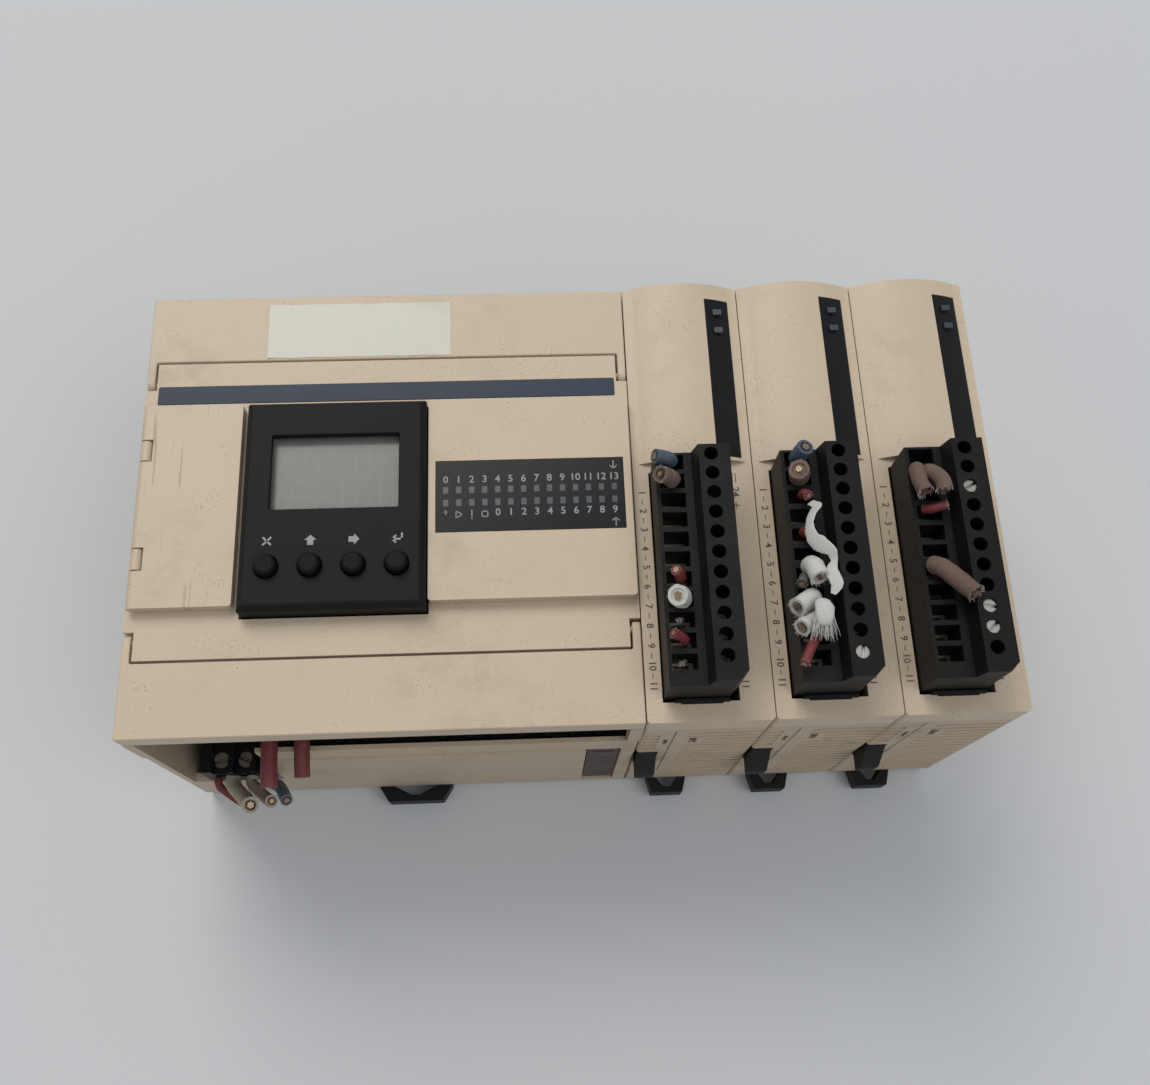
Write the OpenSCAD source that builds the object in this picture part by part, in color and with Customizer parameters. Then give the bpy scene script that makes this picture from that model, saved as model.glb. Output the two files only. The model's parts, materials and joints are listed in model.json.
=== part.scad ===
// Compact programmable controller with a plug-in display module and a row of analogue expansion
// modules, all hooked on one 35 mm rail. X runs along the rail, Y up the front face and Z out of it.
// The origin is on the rail's centreline, in the back plane, at the middle of the row.

/* [Row] */
// Height of every unit, along Y
unit_h = 90; // [86:0.5:100]
// Gap between neighbouring units
unit_gap = 0.2; // [0.1:0.05:0.4]
// Width of the rail that the row hooks on
rail_w = 35; // [34.5:0.1:35.5]
// Depth of the rail's channel
rail_depth = 7.5; // [7:0.1:8]
// Thickness of the rail's steel
rail_t = 1; // [0.8:0.1:1.2]
// Clearance between the rail and the slot that takes it
rail_clear = 0.15; // [0.1:0.05:0.4]
// How far a rail lip or clip nose reaches behind the rail's edge
hook_reach = 1.6; // [1:0.1:2.2]
// Clearance round a piece that slides or lifts out
slide_clear = 0.3; // [0.2:0.05:0.4]

/* [Controller housing] */
// Height of its flat front above the back plane
cpu_front_z = 67.5; // [66:0.5:72]
// Height of the raised centre panel above the flat front
panel_rise = 2.5; // [1.5:0.1:3.5]
// Height of the split between rear and front housing
cpu_split_z = 50; // [47:0.5:53]
// Wall thickness of the controller's housing
cpu_wall = 2; // [1.6:0.1:2.4]
// Width of the bevel along a unit's back edges
back_bevel = 1; // [0.5:0.1:1.2]
// Height of that bevel
back_bevel_h = 6.5; // [4:0.5:7]
// Lower edge of the raised panel
panel_low_y = -21.4; // [-22:0.1:-20]
// Upper edge of the raised panel
panel_high_y = 19.7; // [18:0.1:20.2]
// Width of the raised panel to the right of the display module
panel_w = 38.7; // [36:0.1:48]
// Margin between the raised panel and the right side
panel_margin = 0.4; // [0.2:0.1:1]
// Lower edge of the fixed front between the two covers
tongue_low_y = -30.6; // [-32:0.1:-29.8]
// Upper edge of the fixed front between the two covers
tongue_high_y = 30; // [29.4:0.1:31.5]
// How far the fixed front overhangs the walls that carry it
tongue_overhang = 1.6; // [1:0.1:2.2]

/* [Terminal covers] */
// Thickness of a terminal cover
cover_t = 1.8; // [1.4:0.1:2]
// Height of a cover's outer lip
cover_lip = 5; // [4:0.1:5.6]
// Clearance round a cover
cover_clear = 0.45; // [0.3:0.05:0.6]
// Thickness of the arms that carry a cover
cover_arm_t = 1.6; // [1.4:0.1:1.9]
// Distance of the lower cover's hinge from the fixed front's lower edge
low_hinge_in = 3.6; // [3.2:0.1:4]
// Distance of the upper cover's hinge from the fixed front's upper edge
high_hinge_in = 4; // [3.6:0.1:4.4]
// Radius of a cover arm's round end, which is also the hinge's depth below the front
cover_knuckle_r = 1.5; // [1.3:0.05:1.6]
// Radius of a cover's hinge pin
cover_pin_r = 0.75; // [0.6:0.05:0.85]
// Running clearance round a hinge pin
pin_clear = 0.05; // [0.03:0.01:0.1]

/* [Terminals] */
// Number of terminals in each of the controller's blocks
terminal_count = 16; // [8:1:16]
// Number of those terminals that stand lower, at the block's end
low_count = 2; // [1:1:2]
// Front face of the low terminals
low_terminal_z = 28; // [26:0.5:38]
// Lower edge of the low terminals' outer face
low_terminal_foot_z = 21; // [18:0.5:23]
// Gap between the low terminals and the others
low_gap = 4.9; // [2:0.1:5.2]
// Gap between the low terminals' outer face and the housing's
low_inset = 0.3; // [0.2:0.1:1]
// Distance between terminals
terminal_pitch = 5.08; // [4.8:0.01:5.1]
// Front face of a terminal block
terminal_z = 47; // [44:0.5:48.5]
// Back face of a terminal block
terminal_back_z = 12; // [11:0.5:20]
// Depth of a terminal block, along Y
terminal_depth = 11; // [10:0.1:12]
// Width of a barrier between terminals
barrier_t = 1.1; // [0.8:0.1:1.6]
// Height of a barrier above the block's front face
barrier_h = 2.2; // [1.5:0.1:2.6]
// Radius of a terminal screw's head
screw_head_r = 1.75; // [1.4:0.05:1.85]
// Height of a terminal screw's head
screw_head_h = 1.5; // [1:0.1:2]
// Radius of a terminal screw's shank
screw_shank_r = 1.1; // [0.8:0.05:1.3]
// Length of a terminal screw's shank
screw_shank_l = 6; // [4:0.5:10]
// Width of a screwdriver slot
driver_slot = 0.6; // [0.4:0.05:0.8]
// Far edge of the open corner at the low terminals, from the controller's side
corner_window_w = 21; // [19:0.5:24]
// Thickness of the wall's edge along a wire slot
slot_edge_t = 0.9; // [0.7:0.1:1.4]
// Margin of the wire slots at their other end
wire_slot_end = 2.4; // [2.2:0.1:6]

/* [Port door] */
// Width of the port door
door_w = 19.2; // [16:0.1:19.6]
// Margin between the port door and the controller's side
door_margin = 0.7; // [0.5:0.1:1]
// Thickness of the port door
door_t = 2.2; // [2:0.1:2.4]
// Radius of the port door's hinge pin
door_pin_r = 0.5; // [0.4:0.05:0.6]
// Length of each housing knuckle on the port door's hinge
door_knuckle_l = 4; // [3:0.5:6]
// Distance between the port door's two knuckles
door_knuckle_gap = 22; // [16:0.5:28]
// Floor of the pocket under the port door
port_floor_z = 56; // [55:0.5:57]
// Radius of the round serial port
port_r = 5.6; // [5:0.1:6]
// Radius of an adjusting pot's disc
pot_r = 2.6; // [2:0.1:3]

/* [Display module] */
// Width of the display module
display_w = 34.3; // [33:0.1:34.6]
// Lower edge of the display module
display_low_y = -23; // [-23.2:0.1:-21.5]
// Upper edge of the display module
display_high_y = 19; // [18:0.1:20]
// Left edge of the display module, from the controller's side
display_x = 21.1; // [20.9:0.1:21.5]
// Front face of the display module, above the raised panel
display_rise = 2; // [1.2:0.1:2.4]
// Depth of the display module behind its front face
display_depth = 16; // [15:0.5:17]
// Wall thickness of the display module
display_wall = 1.6; // [1.2:0.1:1.8]
// Chamfer round the display module's front
display_chamfer = 1; // [0.4:0.1:1.2]
// Width of the screen's window
window_w = 24.1; // [22:0.1:26]
// Height of the screen's window
window_h = 15.1; // [13:0.1:16]
// Upper edge of the screen's window, below the display module's upper edge
window_drop = 7.3; // [6:0.1:8]
// Radius of a key
key_r = 2.05; // [1.8:0.05:2.3]
// Distance of the outer keys from the display module's sides
key_side = 5.2; // [4.8:0.1:6]
// Height of the keys' row above the display module's lower edge
key_row = 8.3; // [7.5:0.1:9]
// How far a key stands out of the display module
key_proud = 1.9; // [1.2:0.1:2.2]
// Clearance round a key
key_clear = 0.15; // [0.1:0.05:0.2]
// Travel of a key
key_travel = 0.7; // [0.4:0.1:0.8]

/* [Indicator window] */
// Margin of the indicator window at the raised panel's two sides
indicator_side = 1.35; // [1.2:0.05:2.4]
// Lower edge of the indicator window
indicator_low_y = -8.2; // [-10:0.1:-7]
// Upper edge of the indicator window
indicator_high_y = 6.5; // [5:0.1:8]
// Thickness of the indicator window
indicator_t = 0.8; // [0.6:0.1:1]

/* [Trim strip] */
// Lower edge of the coloured strip
strip_low_y = 21; // [20.4:0.1:21.5]
// Height of the coloured strip
strip_h = 4; // [3:0.1:4.4]
// Thickness of the coloured strip
strip_t = 0.5; // [0.3:0.1:0.8]

/* [Controller rail clip] */
// Width of the controller's rail clip
cpu_clip_w = 16.4; // [13:0.2:18]
// How much its tail narrows at each side
cpu_clip_taper = 2.1; // [1.2:0.1:3]
// Middle of the controller's rail clip, from its side
cpu_clip_x = 47.4; // [44:0.1:52]
// How far a rail clip stands out below a unit
clip_tail = 3.4; // [3:0.1:6]

/* [Panel mounting holes] */
// Radius of a panel mounting hole
panel_hole_r = 2.15; // [1.8:0.05:2.3]
// Distance of a panel mounting hole from the side
panel_hole_in_x = 5.3; // [5.2:0.1:5.6]
// Distance of a panel mounting hole from the edge
panel_hole_in_y = 4.2; // [4.1:0.1:5]

/* [Expansion module] */
// Width of an expansion module to the right of its plug
plug_margin = 6.5; // [6:0.1:9]
// Wall thickness of an expansion module
module_wall = 1.6; // [1.3:0.1:1.8]
// Height of a module's flat front above the back plane
module_front_z = 67.5; // [67:0.1:69]
// Height of the split between a module's rear and front housing
module_split_z = 61; // [60.5:0.1:61.4]
// Height of the domed front above the flat one
dome_rise = 2.5; // [1.8:0.1:3]
// Lower edge of the domed front
dome_low_y = 5.8; // [5.4:0.1:7]
// Margin of the domed front at each side
dome_margin = 1.1; // [0.8:0.1:1.4]
// Width of the status window
status_w = 5; // [4:0.1:5.4]
// Margin between the status window and the module's right side
status_margin = 1.9; // [1.8:0.1:2.6]
// Margin of the status window at its two ends
status_end = 3.4; // [2:0.1:6]
// Depth of the status window's inlay
status_t = 1; // [0.8:0.1:1.2]

/* [Plug] */
// Number of ways of a module's plug
way_count = 11; // [6:1:11]
// Distance between ways
way_pitch = 3.81; // [3.5:0.01:3.85]
// Width of the plug
plug_w = 13.5; // [13.2:0.1:13.9]
// Left side of the plug, from the module's side
plug_x = 3.3; // [3.2:0.1:4]
// Lower end of the plug, from the module's lower edge
plug_low = 4.3; // [4.2:0.1:5]
// Length of the plug past its upper end way
plug_end_high = 1.9; // [1.8:0.05:2.6]
// Length of the plug past its lower end way
plug_end_low = 4.4; // [3.4:0.05:4.6]
// Back face of the plug
plug_back_z = 61.8; // [61.6:0.1:62]
// Height of the plug's wire deck
deck_z = 77.3; // [75:0.1:79]
// Height of the plug's screw tower
tower_z = 81; // [80:0.1:83]
// Width of the wire deck
deck_w = 6.8; // [6.4:0.1:7]
// Width of the sloping wall between deck and tower
slope_w = 0.9; // [0.5:0.1:1.4]
// Width of a wire opening, along X
entry_w = 4.6; // [3.6:0.1:4.8]
// Length of a wire opening, along Y
entry_l = 2.9; // [2.2:0.1:3]
// Radius of a screw hole in the tower
tower_hole_r = 1.3; // [1.1:0.05:1.4]
// Radius of a plug's screw
plug_screw_r = 1.2; // [0.9:0.05:1.25]
// Chamfer at the plug's lower right corner
plug_chamfer = 1.7; // [1:0.1:2]

/* [Module rail clip and latch] */
// Width of a module's rail clip
module_clip_w = 8.8; // [7:0.2:9]
// How much its tail narrows at each side
module_clip_taper = 0.9; // [0.5:0.1:1.4]
// Middle of a module's rail clip, from its side
module_clip_x = 9.3; // [9:0.1:12]
// Width of the locking slider
latch_w = 3.9; // [3:0.1:4]
// Lower edge of the locking slider's heads
latch_low_z = 27; // [24:0.1:29]
// Upper edge of the locking slider's heads
latch_high_z = 38.7; // [34:0.1:42]
// Length of the locking slider's heads inside the housing
latch_head_l = 4; // [3:0.1:5]
// Reach of the lower head out of the housing
latch_reach = 3.3; // [2.6:0.1:3.4]
// Height of the straight part of the lower head's end
latch_tip_h = 4.5; // [3:0.1:6]
// Thickness of the locking slider's legs
latch_leg_t = 2; // [1.6:0.1:2.6]
// Travel of the locking slider
latch_travel = 3; // [2:0.1:3.4]
// Distance between the ribs on a module's ends
rib_pitch = 3; // [2.4:0.1:4]
// Depth of the grooves between those ribs
rib_depth = 0.5; // [0.3:0.05:0.6]

/* [Hidden] */
$fn = 48;
eps = 0.01;

// Widths of the controller and of a module, from what they hold
panel_x = display_x + display_w + slide_clear;
panel_right = panel_x + panel_w;
cpu_w = panel_right + panel_margin;
module_w = plug_x + plug_w + plug_margin;

// Row
module_count = 3;
module_pitch = module_w + unit_gap;
row_w = cpu_w + module_count * module_pitch;
cpu_left = -row_w / 2;
half_h = unit_h / 2;
function module_left(i) = cpu_left + cpu_w + unit_gap + (i - 1) * module_pitch;

// Rail slot, the same in every unit
slot_half = rail_w / 2 + rail_clear;
slot_floor = rail_depth + rail_clear;
flange_low_z = rail_depth - rail_t - rail_clear;
lip_y = rail_w / 2 - hook_reach;
slot_wall = 2;
cavity_floor_z = slot_floor + slot_wall;

// Controller
panel_z = cpu_front_z + panel_rise;
front_wall = cover_t;
side_step = cover_arm_t + cover_clear;
cheek_z = cpu_front_z - cover_lip - slide_clear;
hinge_z = cpu_front_z - cover_knuckle_r;
low_hinge_y = tongue_low_y + low_hinge_in;
high_hinge_y = tongue_high_y - high_hinge_in;
mid_low_y = low_hinge_y + cover_knuckle_r + slide_clear;
mid_high_y = high_hinge_y - cover_knuckle_r - slide_clear;
core_low_y = tongue_low_y + tongue_overhang;
core_high_y = tongue_high_y - tongue_overhang;
high_count = terminal_count - low_count;
terminal_out_y = half_h - cpu_wall;
terminal_in_y = terminal_out_y - terminal_depth;
terminal_right = cpu_w - cpu_wall - 0.2;
terminal_left = terminal_right - high_count * terminal_pitch;
low_right = terminal_left - low_gap;
low_left = low_right - low_count * terminal_pitch;
screw_y = terminal_out_y - 4.2;
screw_sink = 0.6;
// Screw and front face of terminal i, where the low ones come last
function terminal_x(i) =
    i < high_count
        ? terminal_left + (i + 0.5) * terminal_pitch
        : low_right - (i - high_count + 0.5) * terminal_pitch;
function terminal_y(i) = i < high_count ? screw_y : low_screw_y;
function terminal_top(i) = i < high_count ? terminal_z : low_terminal_z;
low_out_y = half_h - low_inset;
low_screw_y = low_out_y - 3;
low_wall_y = half_h - cpu_wall - eps;
sill_step = 0.4;
sill_z = 42;
slot_edge_h = 5;
side_rib_l = 8;
cartridge_x = [cpu_w - 10, cpu_w - 3];
cartridge_z = [8, 42];
cartridge_sink = 1.2;
indicator_x = panel_x + indicator_side;
indicator_w = panel_w - 2 * indicator_side;
boss_r = panel_hole_r + 1.2;
boss_z = 8;
bus_y = 7;
bus_z = [30, 42];
bus_clear = 0.2;
bus_flange = 1.5;
bus_reach = module_wall + 3;
pcb_t = 1.6;
cpu_board_z = 44;
power_board_z = 16;
board_y = terminal_in_y;
board_post_in = 9;
board_post_y = 24;
board_post_r = 2;
led_count = 14;
led_side = 1.95;
led_pitch = (indicator_w - 2 * led_side) / (led_count - 1);

// Display module
display_z = panel_z + display_rise;
display_back_z = display_z - display_depth;
display_inner_z = display_z - display_wall;
display_mid_x = display_x + display_w / 2;
window_high_y = display_high_y - window_drop;
window_low_y = window_high_y - window_h;
key_y = display_low_y + key_row;
key_count = 4;
key_pitch = (display_w - 2 * key_side) / (key_count - 1);
key_top_z = display_z + key_proud;
key_flange_r = key_r + 0.9;
key_flange_t = 1;
key_foot_z = display_inner_z - slide_clear - key_flange_t - 2.4;
switch_top_z = key_foot_z - key_travel - slide_clear;
display_pcb_z = display_back_z + 4;
lens_t = 1;
lens_lap = 1.2;
glass_t = 2.2;
bay_floor_z = display_back_z - slide_clear;
bay_wall = 1.6;
bay_x = [display_x - slide_clear, display_x + display_w + slide_clear];
bay_y = [display_low_y - slide_clear, display_high_y + slide_clear];

// Port door and pocket
door_hinge_r = door_t / 2;
door_z0 = panel_z - door_t;
door_hinge_z = panel_z - door_hinge_r;
door_hinge_x = door_margin + door_hinge_r;
door_right = door_margin + door_w;
pocket_x = [door_hinge_x + door_hinge_r + 0.8, door_right - 1];
pocket_y = [panel_low_y + 1.4, panel_high_y - 1.4];
port_x = (pocket_x[0] + pocket_x[1]) / 2;
port_y = pocket_y[1] - port_r - 2;
port_top_z = port_floor_z + 5;
pot_y = pocket_y[0] + 7;
pot_x = [port_x - 3.6, port_x + 3.6];
pot_top_z = port_floor_z + 3;
pot_foot_z = port_floor_z - bay_wall - 1;

// Rail clip
clip_z = [1.2, flange_low_z - 0.15];
clip_lug = 1;
clip_lug_z = [2.4, 4.4];
clip_lug_l = 18;
clip_travel = 4;
clip_nose_y = -lip_y;
clip_body_y = -slot_half - 0.4;
clip_out_y = -half_h - clip_tail;
grip_wall = 1.4;
hole_tip_w = 0.9;

// Expansion module
dome_half = module_w / 2 - dome_margin;
dome_r = (dome_half * dome_half + dome_rise * dome_rise) / (2 * dome_rise);
dome_z = module_front_z + dome_rise - dome_r;
status_x = [module_w - status_margin - status_w, module_w - status_margin];
status_y = [dome_low_y + 0.7, half_h - status_end];
plug_low_y = -half_h + plug_low;
plug_len = (way_count - 1) * way_pitch + plug_end_high + plug_end_low;
plug_high_y = plug_low_y + plug_len;
plug_right = plug_x + plug_w;
tower_x = plug_x + deck_w + slope_w;
way_y0 = plug_high_y - plug_end_high;
function way_y(k) = way_y0 - (k - 1) * way_pitch;
entry_x = plug_x + 0.7 + entry_w / 2;
entry_floor_z = deck_z - 9;
tower_hole_x = (tower_x + plug_right) / 2 - 0.6;
tower_floor_z = tower_z - 9;
header_top_z = module_split_z + 0.3;
header_low_z = 55;
header_lap = 0.3;
pin_w = 1;
socket_w = 1.4;
pin_top_z = plug_back_z + 4.5;
clamp_z = [entry_floor_z, entry_floor_z + 2.6];
module_pcb_x = module_w - module_wall - bus_flange - bus_clear - pcb_t;
latch_x = 0.3;
latch_right = latch_x + latch_w;
latch_bar_x = module_wall + slide_clear;
latch_bar_z = [12, 20];
latch_tip_y = -half_h - latch_reach;
mark_x = 9.4;
mark_z = [47.6, 52.6];

// Colours
beige = [0.80, 0.74, 0.63];
pale_beige = [0.84, 0.79, 0.69];
black = [0.08, 0.08, 0.09];
slate = [0.18, 0.22, 0.29];
steel = [0.72, 0.72, 0.70];
brass = [0.78, 0.62, 0.34];
board_green = [0.08, 0.32, 0.18];
lcd_green = [0.52, 0.56, 0.46];
smoke = [0.16, 0.14, 0.13];
red = [0.62, 0.12, 0.12];

// A box from its lowest to its highest corner
module span(low, high) {
    translate(low) cube(high - low);
}

// A plate with round upright corners, from its lowest to its highest corner
module plate(low, high, r) {
    size = high - low;
    translate(low) linear_extrude(size[2]) union() {
        translate([r, 0]) square([size[0] - 2 * r, size[1]]);
        translate([0, r]) square([size[0], size[1] - 2 * r]);
        for (x = [r, size[0] - r], y = [r, size[1] - r]) translate([x, y]) circle(r);
    }
}

// A box whose front edges are chamfered
module chamfered(low, high, c) {
    hull() {
        span(low, [high[0], high[1], high[2] - c]);
        span([low[0] + c, low[1] + c, low[2]], [high[0] - c, high[1] - c, high[2]]);
    }
}

// A round bar along X
module bar_x(x0, x1, y, z, r) {
    translate([x0, y, z]) rotate([0, 90, 0]) cylinder(h = x1 - x0, r = r);
}

// A round bar along Y
module bar_y(y0, y1, x, z, r) {
    translate([x, y0, z]) rotate([-90, 0, 0]) cylinder(h = y1 - y0, r = r);
}

// A round bar between two points
module bar_between(a, b, r) {
    d = b - a;
    flat = norm([d[0], d[1]]);
    translate(a) rotate([0, atan2(flat, d[2]), atan2(d[1], d[0])]) cylinder(h = norm(d), r = r);
}

// Slot for the rail across a unit of width w, with the fixed lip above it
module rail_slot(w) {
    span([-1, -slot_half, -1], [w + 1, lip_y, slot_floor]);
    span([-1, lip_y - eps, flange_low_z], [w + 1, slot_half, slot_floor]);
}

// Solid that guides the rail clip, with middle x and clip width w
module clip_guide(x, w) {
    span([x - w / 2 - 3, -half_h, 0], [x + w / 2 + 3, -slot_half, cavity_floor_z]);
}

// Space that the rail clip slides in
module clip_space(x, w) {
    side = w / 2 + slide_clear;
    lug = side + clip_lug;
    span([x - side, -half_h - 1, -1], [x + side, -slot_half + 1, clip_z[1] + slide_clear]);
    span(
        [x - lug, clip_body_y - clip_lug_l - clip_travel - 2 * slide_clear, clip_lug_z[0] - slide_clear],
        [x + lug, clip_body_y - 1, clip_lug_z[1] + slide_clear]
    );
}

// Rail clip with its nose behind the rail's lower edge and a finger hole in its narrowing tail
module rail_clip(x, w, taper) {
    nose_z = flange_low_z - 0.15 - 1.7;
    hole_w = w / 2 - grip_wall;
    difference() {
        union() {
            span([x - w / 2, -half_h, clip_z[0]], [x + w / 2, clip_body_y, clip_z[1]]);
            translate([x, 0, clip_z[0]]) linear_extrude(clip_z[1] - clip_z[0]) polygon([
                [-w / 2, -half_h + eps], [-w / 2, -half_h], [-w / 2 + taper, clip_out_y],
                [w / 2 - taper, clip_out_y], [w / 2, -half_h], [w / 2, -half_h + eps]
            ]);
            translate([x - w / 2, 0, 0]) rotate([90, 0, 90]) linear_extrude(w) polygon([
                [clip_body_y - eps, nose_z], [clip_body_y - eps, clip_z[1]],
                [clip_nose_y, clip_z[1]], [clip_nose_y, clip_z[1] - 0.5]
            ]);
            span(
                [x - w / 2 - clip_lug, clip_body_y - 1.6 - clip_lug_l + 1, clip_lug_z[0]],
                [x + w / 2 + clip_lug, clip_body_y - 1.6, clip_lug_z[1]]
            );
        }
        translate([x, 0, 0]) linear_extrude(clip_z[1] + 1) polygon([
            [-hole_w, -half_h + 1], [-hole_tip_w, clip_out_y + grip_wall],
            [hole_tip_w, clip_out_y + grip_wall], [hole_w, -half_h + 1]
        ]);
        span([x - w / 2 + 1.6, clip_body_y - 20, -1], [x + w / 2 - 1.6, clip_body_y - 3, clip_z[1] - 1.6]);
    }
}

// Opening for the bus in a unit's side, from x0 to x1
module bus_hole(x0, x1) {
    span([x0, -bus_y - bus_clear, bus_z[0] - bus_clear], [x1, bus_y + bus_clear, bus_z[1] + bus_clear]);
}

// Cut that bevels a unit's lower back edge over width w
module bevel_cut(w) {
    translate([-1, 0, 0]) rotate([90, 0, 90]) linear_extrude(w + 2) polygon([
        [-half_h - 1, -1], [-half_h + back_bevel, -1], [-half_h + back_bevel, 0],
        [-half_h, back_bevel_h], [-half_h - 1, back_bevel_h]
    ]);
}

// Shell of a unit's back: outer box to height top, hollow inside, with rail slot and clip space
module rear_shell(w, wall, top, clip_x, clip_w) {
    difference() {
        plate([0, -half_h, 0], [w, half_h, top], 0.8);
        span([wall, -half_h + wall, cavity_floor_z], [w - wall, half_h - wall, top + 1]);
        difference() {
            span([wall, -half_h + wall, wall], [w - wall, -slot_half - slot_wall, cavity_floor_z + 1]);
            clip_guide(clip_x, clip_w);
        }
        span([wall, slot_half + slot_wall, wall], [w - wall, half_h - wall, cavity_floor_z + 1]);
        rail_slot(w);
        clip_space(clip_x, clip_w);
        for (m = [0, 1]) mirror([0, m, 0]) bevel_cut(w);
    }
}

// ---- Controller, with x from its left side ----

module in_cpu() {
    translate([cpu_left, 0, 0]) children();
}

// The panel mounting holes are at two opposite corners
module at_panel_holes() {
    translate([panel_hole_in_x, -half_h + panel_hole_in_y, 0]) children();
    translate([cpu_w - panel_hole_in_x, half_h - panel_hole_in_y, 0]) children();
}

// One end of the controller's rear housing above the split: the cheeks beside the wire slot
module wire_slot_cheeks() {
    inner_y = -mid_low_y + slide_clear;
    span([0, -half_h, cpu_split_z - eps], [cpu_wall, -inner_y, cheek_z]);
    span([cpu_w - cpu_wall, -half_h, cpu_split_z - eps], [cpu_w, -inner_y, cheek_z]);
    span([cpu_w - wire_slot_end, -half_h, cpu_split_z - eps], [cpu_w, -half_h + cpu_wall, cheek_z]);
}

// Grooves in the side wall, next to an end
module side_grooves() {
    for (z = [8 : 4 : 38]) span([-1, -half_h - 1, z], [0.5, -half_h + side_rib_l, z + 1.6]);
}

// Cuts in the wall below a wire slot: open corner at the low terminals, sill and thin upper edge
module terminal_wall_cuts() {
    span([cpu_wall, -half_h - 1, low_terminal_foot_z], [corner_window_w, -low_wall_y, cpu_split_z + 1]);
    span([corner_window_w - eps, -half_h - 1, sill_z], [cpu_w + 1, -half_h + sill_step, cpu_split_z + 1]);
    span(
        [corner_window_w - eps, -half_h + sill_step + slot_edge_t, cpu_split_z - slot_edge_h],
        [cpu_w - wire_slot_end, -low_wall_y, cpu_split_z + 1]
    );
}

module cpu_rear_housing() {
    color(beige) in_cpu() difference() {
        union() {
            rear_shell(cpu_w, cpu_wall, cpu_split_z, cpu_clip_x, cpu_clip_w);
            wire_slot_cheeks();
            translate([cpu_w, 0, 0]) rotate([0, 0, 180]) wire_slot_cheeks();
            intersection() {
                at_panel_holes() cylinder(h = boss_z, r = boss_r);
                span([0, -half_h, 0], [cpu_w, half_h, boss_z]);
            }
            for (x = [board_post_in, cpu_w - board_post_in], y = [-board_post_y, board_post_y])
                translate([x, y, cpu_wall - eps])
                    cylinder(h = cpu_board_z - cpu_wall + eps, r = board_post_r);
        }
        at_panel_holes() translate([0, 0, -1]) cylinder(h = boss_z + 2, r = panel_hole_r);
        terminal_wall_cuts();
        translate([cpu_w, 0, 0]) rotate([0, 0, 180]) terminal_wall_cuts();
        for (m = [0, 1]) mirror([0, m, 0]) side_grooves();
        span(
            [cartridge_x[0], -half_h - 1, cartridge_z[0]],
            [cartridge_x[1], -half_h + cartridge_sink, cartridge_z[1]]
        );
        bus_hole(cpu_w - cpu_wall - 1, cpu_w + 1);
    }
}

// Knuckle positions along the port door's hinge
function knuckle_mid(side) = (panel_low_y + panel_high_y) / 2 + side * door_knuckle_gap / 2;

module cpu_front_housing() {
    x_in = side_step;
    color(beige) in_cpu() difference() {
        union() {
            difference() {
                union() {
                    span([0, mid_low_y, cpu_split_z], [cpu_w, mid_high_y, cpu_front_z]);
                    span([x_in, core_low_y, cpu_split_z], [cpu_w - x_in, core_high_y, cpu_front_z]);
                }
                span(
                    [x_in + cpu_wall, core_low_y + cpu_wall, cpu_split_z - 1],
                    [cpu_w - x_in - cpu_wall, core_high_y - cpu_wall, cpu_front_z - front_wall]
                );
                span(
                    [cpu_wall, mid_low_y + cpu_wall, cpu_split_z - 1],
                    [cpu_w - cpu_wall, mid_high_y - cpu_wall, cpu_front_z - front_wall]
                );
            }
            span(
                [x_in, tongue_low_y, cpu_front_z - front_wall],
                [cpu_w - x_in, tongue_high_y, cpu_front_z]
            );
            plate([panel_x, panel_low_y, cpu_front_z - 1], [panel_right, panel_high_y, panel_z], 0.6);
            // tub of the display module
            span(
                [bay_x[0] - bay_wall, bay_y[0] - bay_wall, bay_floor_z - bay_wall],
                [bay_x[1] + bay_wall, bay_y[1] + bay_wall, cpu_front_z - front_wall]
            );
            // tub of the port pocket
            span(
                [cpu_wall, pocket_y[0] - bay_wall, port_floor_z - bay_wall],
                [pocket_x[1] + bay_wall, pocket_y[1] + bay_wall, cpu_front_z - front_wall]
            );
            for (side = [-1, 1]) {
                y0 = knuckle_mid(side) - door_knuckle_l / 2;
                y1 = y0 + door_knuckle_l;
                bar_y(y0, y1, door_hinge_x, door_hinge_z, door_hinge_r);
                span([door_margin, y0, cpu_front_z - 1], [door_margin + 2 * door_hinge_r, y1, door_hinge_z]);
            }
            for (y = [low_hinge_y, high_hinge_y]) {
                bar_x(0.3, x_in + 1, y, hinge_z, cover_pin_r);
                bar_x(cpu_w - x_in - 1, cpu_w - 0.3, y, hinge_z, cover_pin_r);
            }
        }
        span([bay_x[0], bay_y[0], bay_floor_z], [bay_x[1], bay_y[1], panel_z + 1]);
        span(
            [display_mid_x - 8.5, key_y - 3.5, bay_floor_z - bay_wall - 1],
            [display_mid_x + 8.5, key_y + 3.5, bay_floor_z + 1]
        );
        span(
            [pocket_x[0], pocket_y[0], port_floor_z],
            [pocket_x[1], pocket_y[1], cpu_front_z + 1]
        );
        translate([port_x, port_y, port_floor_z - bay_wall - 1])
            cylinder(h = bay_wall + 2, r = port_r + bus_clear);
        for (x = pot_x) translate([x, pot_y, port_floor_z - bay_wall - 1])
            cylinder(h = bay_wall + 2, r = pot_r + slide_clear);
        indicator_cut();
        translate([0, 0, cpu_front_z - strip_t]) strip_shape(cpu_w, 1);
        for (side = [-1, 1]) bar_y(
            knuckle_mid(side) - door_knuckle_l, knuckle_mid(side) + door_knuckle_l,
            door_hinge_x, door_hinge_z, door_pin_r + pin_clear
        );
    }
}

// The indicator window's plate between two heights
module indicator_shape(z0, z1) {
    span([indicator_x, indicator_low_y, z0], [indicator_x + indicator_w, indicator_high_y, z1]);
}

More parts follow.
